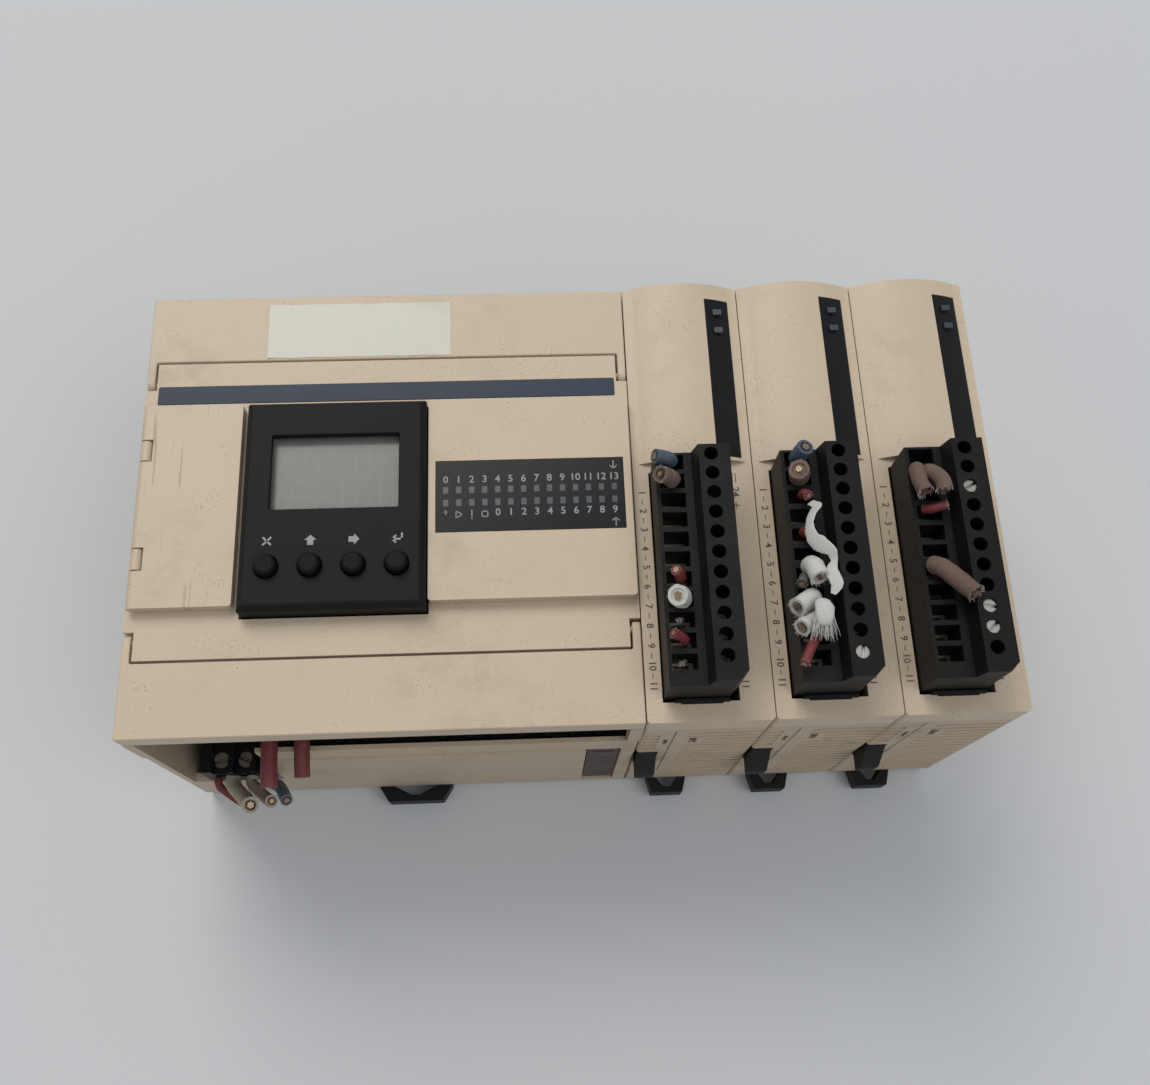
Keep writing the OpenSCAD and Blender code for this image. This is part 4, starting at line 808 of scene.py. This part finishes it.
class CTRL_OT_label(Piece):
    """Lays the blank worn label on the upper terminal cover"""

    bl_idname = "ctrl.label"
    bl_label = "Blank Label"

    def execute(self, context):
        # Lays the blank worn label on the upper terminal cover
        rng = random.Random(5)
        across, up = 60, 20
        x0, width = CPU_LEFT + 23.3, 36.5
        y0, height = 30.95, 12.15
        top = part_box("top_terminal_cover")[1][2] / MM
        bm = bmesh.new()
        grid = []
        for j in range(up + 1):
            row = []
            for i in range(across + 1):
                u, v = i / across, j / up
                lift = 0.22 * max(0.0, u - 0.72) * max(0.0, v - 0.8) * 12
                lift += 0.1 * max(0.0, 0.06 - u) * 16 * (1 - v)
                ripple = 0.012 * math.sin(9 * u + 4 * v) + rng.uniform(0, 0.006)
                x = x0 + width * u + 0.05 * math.sin(23 * v) * (u in (0, 1))
                y = y0 + height * v + 0.05 * math.sin(31 * u) * (v in (0, 1))
                row.append(bm.verts.new(Vector((x, y, top + 0.09 + lift + ripple)) * MM))
            grid.append(row)
        for low, high in zip(grid, grid[1:]):
            for i in range(across):
                bm.faces.new((low[i], low[i + 1], high[i + 1], high[i]))
        label = new_object("blank_label", bm, MATS["paper"])
        body = label.modifiers.new("thickness", "SOLIDIFY")
        body.thickness = 0.08 * MM
        body.offset = -1
        bake(label)
        smooth(label.data, 50)
        settle(label, "top_terminal_cover", "cover_beige")
        return {"FINISHED"}


def above(key):
    """The place of the sign above a key, in millimetres."""
    low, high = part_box(key)
    return (low[0] + high[0]) / 2 / MM, high[1] / MM + 2.0


def block_arrow(bm, z, turn, at):
    """Adds a solid arrow, pointing up before it is turned, as a thin raised shape."""
    spin = Matrix.Rotation(math.radians(turn), 3, "Z")
    left = [(0, 1.05), (-1.1, 0.05), (-0.55, 0.05), (-0.55, -0.95)]
    outline = left + [(-x, y) for x, y in reversed(left[1:])]
    flat = [spin @ Vector((x, y, 0)) + Vector((*at, 0)) for x, y in outline]
    bmesh.ops.triangulate(bm, faces=plate(bm, flat, z))


class CTRL_OT_display(Piece):
    """Dresses the display unit, its keys and the signs above them"""

    bl_idname = "ctrl.display"
    bl_label = "Display"

    def execute(self, context):
        sizes = context.scene.ctrl_sizes
        dress("display_housing", "display", sizes.cover_round, segments=3)
        dress("display_lens", "lens")
        dress("display_glass", "lcd")
        dress("display_board", "board")
        for key in ("key_cancel", "key_up", "key_right", "key_enter"):
            dress(key, "key", sizes.small_round)
        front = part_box("display_housing")[1][2] / MM + PRINT_DEPTH / 4
        cross = [[(-0.65, -0.65), (0.65, 0.65)], [(-0.65, 0.65), (0.65, -0.65)]]
        back = [[(0.9, 0.8), (0.9, -0.2), (-0.9, -0.2)], [(-0.3, 0.4), (-0.9, -0.2), (-0.3, -0.8)]]
        bm = bmesh.new()
        for key, paths in (("key_cancel", cross), ("key_enter", back)):
            for path in paths:
                stroke(bm, path, 0.36, front, at=above(key))
        for key, turn in (("key_up", 0), ("key_right", -90)):
            block_arrow(bm, front, turn, above(key))
        signs = new_object("display_signs", bm, MATS["pale"])
        settle(signs, "display_housing", "display_plastic")
        return {"FINISHED"}


def lamp_row(name, tree, window, start, step, count, size):
    """A row of lamps on a window; size is their width, height, depth and corner radius in mm."""
    labels = ("Width", "Height", "Depth", "Corner")
    sizes = {label: length * MM for label, length in zip(labels, size)}
    lamps = grow(
        name, bmesh.new(), tree, MATS["lamp"], Start=start, Step=step, Count=count, **sizes
    )
    settle(lamps, window, "indicator_smoke")


class CTRL_OT_indicators(Piece):
    """Sets the lamps behind the indicator window and prints their numbers and signs"""

    bl_idname = "ctrl.indicators"
    bl_label = "Indicators"

    def execute(self, context):
        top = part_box("indicator_window")[1][2] / MM
        first, pitch = CPU_LEFT + 59.0, 2.469
        tree = plate_row_tree()
        for name, y in (("input_lamps", 0.4), ("output_lamps", -2.2)):
            start = (first * MM, y * MM, (top - 0.02) * MM)
            size = (1.0, 1.35, 0.05, 0.12)
            lamp_row(name, tree, "indicator_window", start, (pitch * MM, 0, 0), INPUTS, size)
        for i in MODULES:
            window = f"module_{i}_status_window"
            low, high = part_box(window)
            start = ((low[0] + high[0]) / 2, high[1] - 0.0032, high[2] - 0.0004)
            size = (1.7, 1.2, 0.45, 0.15)
            lamp_row(f"module_{i}_status_lamp", tree, window, start, (0, -0.0041, 0), 2, size)
        level = top + PRINT_DEPTH / 4
        bm = bmesh.new()
        for k in range(INPUTS):
            glyph_into(bm, str(k), first + pitch * k, 2.5, level, 1.45)
        for k in range(OUTPUTS):
            place = first + pitch * (k + INPUTS - OUTPUTS)
            glyph_into(bm, str(k), place, -4.35, level, 1.45)
        power = [(0.62 * math.sin(a / 10), 0.62 * math.cos(a / 10)) for a in range(6, 58, 3)]
        signs = (
            [power, [(0, 0.85), (0, 0.1)]],
            [[(-0.5, 0.7), (0.7, 0), (-0.5, -0.7), (-0.5, 0.7)]],
            [[(0, 0.85), (0, -0.25)], [(0, -0.6), (0, -0.8)]],
            [[(-0.55, -0.55), (0.55, -0.55), (0.55, 0.55), (-0.55, 0.55), (-0.55, -0.55)]],
        )
        for k, paths in enumerate(signs):
            for path in paths:
                stroke(bm, path, 0.2, level, at=(first + pitch * k, -4.6))
        arrow = [[(0, 0.8), (0, -0.8)], [(-0.6, -0.2), (0, -0.8), (0.6, -0.2)]]
        for turn, y in ((0, 4.9), (180, -6.75)):
            for path in arrow:
                stroke(bm, path, 0.2, level, turn, (first + pitch * (INPUTS - 1), y))
        numbers = new_object("indicator_numbers", bm, MATS["pale"])
        settle(numbers, "indicator_window", "indicator_smoke")
        return {"FINISHED"}


class CTRL_OT_prints(Piece):
    """Prints the way numbers beside the plugs"""

    bl_idname = "ctrl.prints"
    bl_label = "Way Numbers"

    def execute(self, context):
        rng = random.Random(11)
        for i in MODULES:
            level = MODULE_FRONT + PRINT_DEPTH / 4
            left = module_left(i)
            bm = bmesh.new()
            for k in range(1, WAYS + 1):
                y = way_y(k) - 1.9
                glyph_into(bm, str(k), left + 1.5, y, level, 1.35, -90 + rng.uniform(-1, 1))
                if k > 1:
                    stroke(bm, [(0, -0.4), (0, 0.4)], 0.16, level, at=(left + 1.5, y + 1.9))
            glyph_into(bm, str(WAYS), left + 18.3, way_y(WAYS) - 2.0, level, 1.35, -90)
            if i == 1:
                stroke(bm, [(0, -0.9), (0, 0.9)], 0.18, level, at=(left + 19.9, 2.6))
                for dy in (-0.75, 0, 0.75):
                    stroke(bm, [(0, -0.2), (0, 0.2)], 0.18, level, at=(left + 19.3, 2.6 + dy))
                glyph_into(bm, "24", left + 19.6, -0.4, level, 1.5, -90)
                for path in ([(-0.6, 0), (0.6, 0)], [(0, -0.6), (0, 0.6)]):
                    stroke(bm, path, 0.18, level, at=(left + 19.6, -3.2))
            marks = new_object(f"module_{i}_way_numbers", bm, MATS["print"])
            settle(marks, f"module_{i}_front_housing", "cover_beige")
        return {"FINISHED"}


class CTRL_OT_inside(Piece):
    """Dresses boards, terminal blocks, port, dials and connectors"""

    bl_idname = "ctrl.inside"
    bl_label = "Inside"

    def execute(self, context):
        sizes = context.scene.ctrl_sizes
        for node in ("cpu_board", "power_board"):
            dress(node, "board")
        for node in ("top_terminal_block", "bottom_terminal_block", "bus_connectors"):
            dress(node, "black", sizes.small_round)
        dress("serial_port", "dark", sizes.small_round)
        # The terminal screws get the darker steel, partly grime and partly painted shade of the
        # deep block
        dress("cpu_terminal_screws", "worn", sizes.small_round)
        for node in ("trim_pot_1", "trim_pot_2"):
            dress(node, "cream", sizes.small_round)
        for i in MODULES:
            dress(f"module_{i}_board", "board")
            dress(f"module_{i}_header", "black", sizes.small_round)
        return {"FINISHED"}


# Ways whose screw stands high and bright in each plug; the others are screwed down by a drop and
# get a darker steel, partly grime and partly painted shade
HIGH_SCREWS = {1: (), 2: (11,), 3: (3, 9, 10)}
SCREW_DROP = 4.2
# Gap between a plug and the lip below it, and corners of the lip's two steps, from its
# module's left side, the gap's lower edge and the module's front
LIP_GAP = 0.08
LIP_BOXES = (
    ((5.1, -0.7, -0.3), (15.2, 0, 0.9)),
    ((6.3, -0.95, -0.2), (14.0, -0.5, 0.35)),
)


def plug_screws(i):
    """The clamp screws of a plug in two pieces: bright ones held high, and sunk ones in a darker,
    grimy steel whose darkness is partly painted shade of their deep holes.
    """
    node = f"module_{i}_plug_screws"
    standing = [node]
    # The sunk screws take the darker steel: painted shade on top of grime
    for look, high in (("worn", False), ("steel", True)):
        bm = merged(node)
        drop = []
        for vert in bm.verts:
            way = round((FIRST_WAY - vert.co.y / MM) / WAY_PITCH) + 1
            if (way in HIGH_SCREWS[i]) != high:
                drop.append(vert)
            elif not high:
                vert.co.z -= SCREW_DROP * MM
        bmesh.ops.delete(bm, geom=drop, context="VERTS")
        if not bm.verts:
            bm.free()
            continue
        obj = new_object(f"{node}_{look}", bm, MATS[look])
        smooth(obj.data)
        settle(obj, node, "screw_steel", *standing)
        standing = []


class CTRL_OT_plugs(Piece):
    """Dresses the module plugs, their screws and clamps, and the lip below each plug"""

    bl_idname = "ctrl.plugs"
    bl_label = "Plugs"

    def execute(self, context):
        sizes = context.scene.ctrl_sizes
        for i in MODULES:
            dress(f"module_{i}_plug", "plug", sizes.small_round)
            plug_screws(i)
            dress(f"module_{i}_wire_clamps", "brass")
            left = module_left(i)
            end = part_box(f"module_{i}_plug")[0][1] / MM - LIP_GAP
            bm = bmesh.new()
            foot = (left, end, MODULE_FRONT)
            for corners in LIP_BOXES:
                low, high = ([a + b for a, b in zip(foot, corner)] for corner in corners)
                box_into(bm, low, high)
            lip = new_object(f"module_{i}_header_lip", bm, MATS["black"])
            rounded(lip, 0.12 * MM)
            settle(lip, f"module_{i}_header", "black_plastic")
        return {"FINISHED"}


class CTRL_OT_clips(Piece):
    """Dresses the rail clips and the latches between modules"""

    bl_idname = "ctrl.clips"
    bl_label = "Clips and Latches"

    def execute(self, context):
        sizes = context.scene.ctrl_sizes
        dress("cpu_rail_clip", "black", sizes.small_round)
        for i in MODULES:
            dress(f"module_{i}_rail_clip", "black", sizes.small_round)
            dress(f"module_{i}_latch", "black", sizes.small_round)
        return {"FINISHED"}


# Cut wires in the plugs: way, points beside the entry's middle and above the deck, sleeve
# radius, core radius, sleeve material
PLUG_WIRES = {
    1: [
        (1, [(0, 0, 0.4), (-0.9, 0, 1.9), (-3.3, -0.1, 3.2)], 1.35, 0.75, "blue"),
        (2, [(0, 0, 0.6), (-0.8, 0, 2.1), (-2.6, -0.3, 4.2)], 1.55, 0.5, "tan"),
        (7, [(0.2, 0, 0.4), (0, 0.1, 1.8), (-0.9, 0.5, 3.6)], 1.0, 0.6, "red"),
        (8, [(0.1, 0, 0.4), (-0.1, 0, 2.0), (-1.0, -0.5, 4.2)], 1.8, 0.75, "white"),
        (9, [(0, 0, 0), (-0.2, -0.2, 0.9), (-0.9, -0.6, 1.6)], 0.42, 0.3, "grey"),
        (10, [(0.2, 0, 0.3), (-0.4, 0.2, 1.3), (-2.0, 0.6, 2.9)], 0.9, 0.5, "red"),
        (11, [(0, 0, 0), (-0.3, -0.3, 0.7), (-0.9, -0.8, 1.3)], 0.4, 0.3, "grey"),
    ],
    2: [
        (1, [(0, 0, 0.4), (0.2, 0, 2.2), (0.8, 0.4, 4.6)], 1.6, 0.75, "blue"),
        (2, [(0, 0, 0.5), (-0.2, 0, 2.3), (-0.8, -0.1, 4.3)], 1.8, 0.6, "tan"),
        (3, [(0.1, 0.2, 0.3), (0.3, 0, 1.9), (0.7, -1.0, 3.1)], 0.85, 0.5, "red"),
        (5, [(-0.3, 0.4, 0.6), (0.1, 0, 2.0), (1.9, -2.4, 3.0)], 0.95, 0.45, "red"),
        (7, [(-0.6, -0.4, 0.2), (-1.2, -0.9, 1.6), (-2.1, -2.4, 2.5)], 1.0, 0.6, "grey"),
        (7, [(0.1, 1.4, 1.2), (0.2, 0.6, 3.2), (0.8, -1.9, 4.3)], 1.75, 0.5, "white"),
        (8, [(0, -0.5, 0.6), (-1.3, -1.6, 2.3), (-3.6, -3.2, 3.4)], 1.75, 0.7, "white"),
        (9, [(0, -0.6, 0.4), (-1.2, -1.4, 2.0), (-3.1, -3.0, 3.2)], 1.55, 0.8, "white"),
        (10, [(0, -0.4, 0.4), (-0.9, -1.2, 1.9), (-3.3, -5.6, 3.2)], 0.9, 0.5, "red"),
    ],
    3: [
        (
            2,
            [(-1.4, 0.6, 0.6), (-2, 0, 2.4), (-2.3, -3.4, 4.2), (-1.8, -5.2, 4.6)],
            1.5,
            0.6,
            "tan",
        ),
        (3, [(0.2, 3, 1), (0.2, 3.2, 2.9), (1.4, 0.6, 5), (1.6, -1.2, 5)], 1.5, 0.6, "tan"),
        (4, [(-1.2, 0.6, 0.4), (0.2, 0.2, 1.7), (2.6, 0.5, 2.9)], 0.85, 0.5, "red"),
        (7, [(-0.8, 0.9, 0.6), (-0.4, 0.4, 2.3), (3.9, -5.9, 5.6)], 1.65, 0.75, "tan"),
    ],
}
# Cut wires at the controller's low terminals: sleeve material, points from the controller's
# left side, sleeve radius, core radius
CPU_WIRES = (
    ("red", [(24.2, -40.2, 51.9), (24.25, -45, 52.1), (24.4, -51.6, 51.5)], 1.6, 0.7),
    ("red", [(30.3, -40.2, 51.8), (30.4, -45, 52.0), (30.6, -49.9, 51.4)], 1.5, 0.7),
    (
        "red",
        [(7.3, -44.7, 22.5), (7.6, -46.4, 22.4), (11, -49, 20.4), (12.6, -49.9, 20.2)],
        0.85,
        0.5,
    ),
    (
        "blue",
        [(19.2, -35, 25.4), (19.3, -45.4, 26), (23.2, -49, 36), (25.7, -52.5, 41.2)],
        1.2,
        0.6,
    ),
    (
        "beige",
        [(10.8, -44.7, 24.2), (11.2, -46.8, 25), (15.9, -51.2, 31), (17.9, -52.7, 37.8)],
        1.6,
        0.7,
    ),
    (
        "beige",
        [(14.7, -44.7, 24), (15, -46.6, 24.4), (19.4, -50.4, 29), (20.8, -51.2, 32.2)],
        1.25,
        0.5,
    ),
)


def core_into(bm, thick, line, radius, sunk, proud):
    """Adds a bundle's middle line to bm, from inside the sleeve's end to just past it."""
    way = frames_along(line)
    count = max(2, round(sunk / 0.25))
    points = [p for p, *_ in way[-count:]] + [way[-1][0] + way[-1][1] * proud]
    chain(bm, points)
    thick.extend([radius * MM] * len(points))


def sleeve_into(bm, line, radius, rng, soft):
    """Adds one cut sleeve along a line to bm: a soft one is ragged and open, with a thin wall."""
    ragged = 0.05 if soft else 0.02
    wall = 0.3 if soft else 0.36
    places = [k / 10 for k in range(10)]
    rings = [(p, radius * (1 + rng.uniform(-1, 1) * ragged)) for p in places]
    rings += [(0.97, radius * 1.01), (1.0, radius * (1.04 if soft else 0.97))]
    rings += [(1.0, radius * (1 - wall)), (0.9, radius * (0.96 - wall))]
    sweep(bm, line, rings, rng, 18, ragged * 0.7)


def hairs_into(bm, line, radius, rng, count, length):
    """Adds loose fibres standing out of a sleeve's end to bm."""
    end, ahead, u, v = frames_along(line)[-1]
    for _ in range(count):
        angle = rng.uniform(0, 2 * math.pi)
        out = u * math.cos(angle) + v * math.sin(angle)
        reach = rng.uniform(0.4, 1.0) * length
        points = [end - ahead * 0.4 + out * radius * 0.9]
        for step in (0.35, 0.7, 1.0):
            drift = out * (0.35 * step * reach) + ahead * (reach * step)
            drift.z -= 0.25 * reach * step * step
            points.append(points[0] + drift + Vector([rng.uniform(-0.1, 0.1) for _ in "xyz"]))
        chain(bm, points)


def wire_pieces(node, wires, trees, seed):
    """Sleeves by colour, copper cores and loose fibres of a group of wires, for one node."""
    rng = random.Random(seed)
    sleeves = {}
    cores, thick, hairs = bmesh.new(), [], bmesh.new()
    for colour, points, radius, core in wires:
        line = spline(points)
        soft = colour in ("white", "tan", "beige")
        sleeve_into(sleeves.setdefault(colour, bmesh.new()), line, radius, rng, soft)
        core_into(cores, thick, line, core, 2.0, 0.25 if soft else 0.12)
        hairs_into(hairs, line, radius, rng, 34 if soft else 14, 1.0 if soft else 0.55)
    standing = [node]
    for colour, bm in sleeves.items():
        slot = "wire_red" if colour == "red" else "wire_brown"
        soft_skin(f"{node}_{colour}", bm, colour, node, slot, *standing)
        standing = []
    strands, fibres = trees
    cores.verts.ensure_lookup_table()
    layer = cores.verts.layers.float.new("thick")
    for vert, radius in zip(cores.verts, thick):
        vert[layer] = radius
    obj = grow(f"{node}_cores", cores, strands, MATS["copper"], Strands=6, Twist=260.0)
    settle(obj, node, "brass_contact")
    fine = {"Thickness": 0.09 * MM, "Tip": 0.04 * MM}
    obj = grow(f"{node}_fibres", hairs, fibres, MATS["white"], **fine)
    settle(obj, node, "wire_brown")


# Places and half widths along the torn ribbon, from the middle module's left side
RIBBON = (
    (7.2, -8.2, 80.4, 0.7),
    (7.9, -9.6, 82.2, 0.95),
    (6.9, -10.9, 82.4, 0.8),
    (6.2, -13.0, 82.0, 0.95),
    (6.4, -15.6, 82.2, 1.25),
    (7.8, -17.4, 82.9, 1.5),
    (9.2, -18.6, 83.2, 1.1),
    (9.7, -20.2, 82.4, 0.6),
    (9.2, -22.0, 82.2, 1.15),
    (9.7, -24.4, 82.6, 1.2),
    (8.9, -26.2, 82.2, 0.5),
)


def frayed_ribbon():
    """The torn strip of white sleeving that hangs over the middle plug's ways 3 to 7."""
    rng = random.Random(23)
    left = module_left(2)
    line = spline([(left + x, y, z) for x, y, z, _ in RIBBON])
    widths = [width for *_, width in RIBBON]
    rings = []
    for k in range(41):
        place = k / 40
        spot = place * (len(widths) - 1)
        a = int(min(spot, len(widths) - 2))
        width = widths[a] + (widths[a + 1] - widths[a]) * (spot - a)
        rings.append((place, width))
    bm = bmesh.new()
    sweep(bm, line, rings, rng, 16, 0.1, 0.16, Vector((1, 0.2, 0.5)))
    soft_skin("module_2_frayed_ribbon", bm, "white", "module_2_wires", "wire_brown")


def frayed_tuft(fibres):
    """The brushed-out end of a white sleeve beside ways 8 and 9 of the middle plug."""
    rng = random.Random(31)
    left = module_left(2)
    points = [(6.9, -27.2, 81.6), (6.9, -29.0, 83.0), (6.7, -32.0, 82.6)]
    line = spline([(left + x, y, z) for x, y, z in points])
    bm = bmesh.new()
    rings = [(0, 1.1), (0.2, 1.5), (0.45, 1.75), (0.7, 1.7), (0.9, 1.35), (1.0, 0.8)]
    sweep(bm, line, rings, rng, 18, 0.07, 0.55, Vector((1, 0, 0)))
    bmesh.ops.recalc_face_normals(bm, faces=bm.faces)
    tuft = new_object("module_2_tuft", bm, MATS["white"])
    smooth(tuft.data, 60)
    settle(tuft, "module_2_wires", "wire_brown")
    bm = bmesh.new()
    for _ in range(90):
        x = rng.gauss(0, 0.75)
        y, z = -30.2 + rng.uniform(-0.9, 0.6), 82.9 + rng.uniform(-0.6, 0.3)
        points = [Vector((left + 6.7 + x, y, z))]
        for step in (1, 2, 3, 4):
            dx, dy = x * 0.16 + rng.gauss(0, 0.1), -0.85 + rng.gauss(0, 0.12)
            points.append(points[-1] + Vector((dx, dy, -0.12 * step)))
        chain(bm, points)
    coarse = {"Thickness": 0.16 * MM, "Tip": 0.05 * MM}
    obj = grow("module_2_tuft_fibres", bm, fibres, MATS["white"], **coarse)
    settle(obj, "module_2_wires", "wire_brown")


class CTRL_OT_wires(Piece):
    """Makes the cut wires left in the terminals, with their sleeves, strands and frayed ends"""

    bl_idname = "ctrl.wires"
    bl_label = "Wires"

    def execute(self, context):
        trees = strands_tree(), fibres_tree()
        wires = [
            (colour, [(CPU_LEFT + x, y, z) for x, y, z in points], radius, core)
            for colour, points, radius, core in CPU_WIRES
        ]
        wire_pieces("cpu_wires", wires, trees, 3)
        for i in MODULES:
            wires = []
            for way, points, radius, core, colour in PLUG_WIRES[i]:
                foot = Vector((module_left(i) + ENTRY_X, way_y(way), DECK_Z))
                wires.append((colour, [foot + Vector(p) for p in points], radius, core))
            wire_pieces(f"module_{i}_wires", wires, trees, 40 + i)
        frayed_ribbon()
        frayed_tuft(trees[1])
        return {"FINISHED"}


LIGHTS_AIM = Vector((0, 0, 0.05))
# How far the floor lies below the row's back, so that the two don't flicker
FLOOR_DROP = -0.0003


class CTRL_OT_stage(Piece):
    """Lays the floor and sets the lights and the camera"""

    bl_idname = "ctrl.stage"
    bl_label = "Stage"

    def execute(self, context):
        bm = bmesh.new()
        bmesh.ops.create_grid(bm, x_segments=2, y_segments=2, size=3.0)
        mat, tree, shader = new_material("pale_floor")
        at = tree.nodes.new("ShaderNodeTexCoord").outputs["Object"]
        noise = add(tree, "TexNoise", at, Scale=3.0, Detail=4.0)
        dark, pale = (0.53, 0.535, 0.55, 1), (0.57, 0.575, 0.585, 1)
        colour = mix_colour(tree, noise.outputs[0], dark, pale)
        tree.links.new(colour, shader.inputs["Base Color"])
        fill(shader, {"Roughness": 0.85})
        floor = new_object("floor", bm, mat)
        floor.location.z = FLOOR_DROP
        world = bpy.data.worlds.new("room")
        world.use_nodes = True
        fill(world.node_tree.nodes["Background"], {"Color": (0.9, 0.95, 1.0, 1), "Strength": 0.48})
        context.scene.world = world
        area_light("key", (-0.6, 1.4, 2.0), 1.5, 33.0, (1.0, 0.97, 0.92))
        area_light("fill", (0.9, -0.7, 1.9), 1.2, 10.0, (0.97, 0.98, 1.0))
        front_camera(context.scene)
        context.scene.view_settings.view_transform = "Standard"
        return {"FINISHED"}


def area_light(name, at, size, power, colour):
    """A square area light at a point, turned towards the row."""
    data = bpy.data.lights.new(name, "AREA")
    data.size = size
    data.energy = power
    data.color = colour
    lamp = bpy.data.objects.new(name, data)
    lamp.location = at
    lamp.rotation_euler = (LIGHTS_AIM - Vector(at)).to_track_quat("-Z", "Y").to_euler()
    bpy.context.scene.collection.objects.link(lamp)


def front_camera(scene):
    """The camera, close to the row, in front of it and below its middle."""
    data = bpy.data.cameras.new("camera")
    data.lens = 37.07
    data.sensor_width = 36
    data.sensor_fit = "HORIZONTAL"
    data.clip_start = 0.01
    forward = Vector((0.0363575, 0.3464134, -0.9373772)).normalized()
    right = forward.cross(Vector((0.02656, 0.93733, 0.34743))).normalized()
    up = right.cross(forward)
    camera = bpy.data.objects.new("camera", data)
    turn = Matrix((right, up, -forward)).transposed().to_4x4()
    camera.matrix_world = Matrix.Translation((-0.007544, -0.087703, 0.27789)) @ turn
    scene.collection.objects.link(camera)
    scene.camera = camera


class CTRL_PT_panel(bpy.types.Panel):
    """Lists the controller's pieces, colours and sizes"""

    bl_idname = "CTRL_PT_panel"
    bl_label = "Controller"
    bl_space_type = "VIEW_3D"
    bl_region_type = "UI"
    bl_category = "Controller"

    def draw(self, context):
        for group in (context.scene.ctrl_paint, context.scene.ctrl_sizes):
            box = self.layout.box()
            for key in group.__annotations__:
                box.prop(group, key)
        for operator in OPERATORS:
            self.layout.operator(operator.bl_idname)


OPERATORS = (
    CTRL_OT_housings,
    CTRL_OT_covers,
    CTRL_OT_label,
    CTRL_OT_display,
    CTRL_OT_indicators,
    CTRL_OT_prints,
    CTRL_OT_inside,
    CTRL_OT_plugs,
    CTRL_OT_clips,
    CTRL_OT_wires,
    CTRL_OT_stage,
)
CLASSES = (CTRL_PG_paint, CTRL_PG_sizes, *OPERATORS, CTRL_PT_panel)


def register():
    """Adds the add-on's classes and its properties on the scene."""
    for item in CLASSES:
        bpy.utils.register_class(item)
    bpy.types.Scene.ctrl_paint = bpy.props.PointerProperty(type=CTRL_PG_paint)
    bpy.types.Scene.ctrl_sizes = bpy.props.PointerProperty(type=CTRL_PG_sizes)


def unregister():
    """Takes the properties and classes away again."""
    del bpy.types.Scene.ctrl_sizes
    del bpy.types.Scene.ctrl_paint
    for item in reversed(CLASSES):
        bpy.utils.unregister_class(item)


def main():
    """Builds the whole scene."""
    register()
    build_materials(bpy.context.scene.ctrl_paint)
    for operator in OPERATORS:
        group, name = operator.bl_idname.split(".")
        getattr(getattr(bpy.ops, group), name)()


if __name__ == "__main__":
    main()
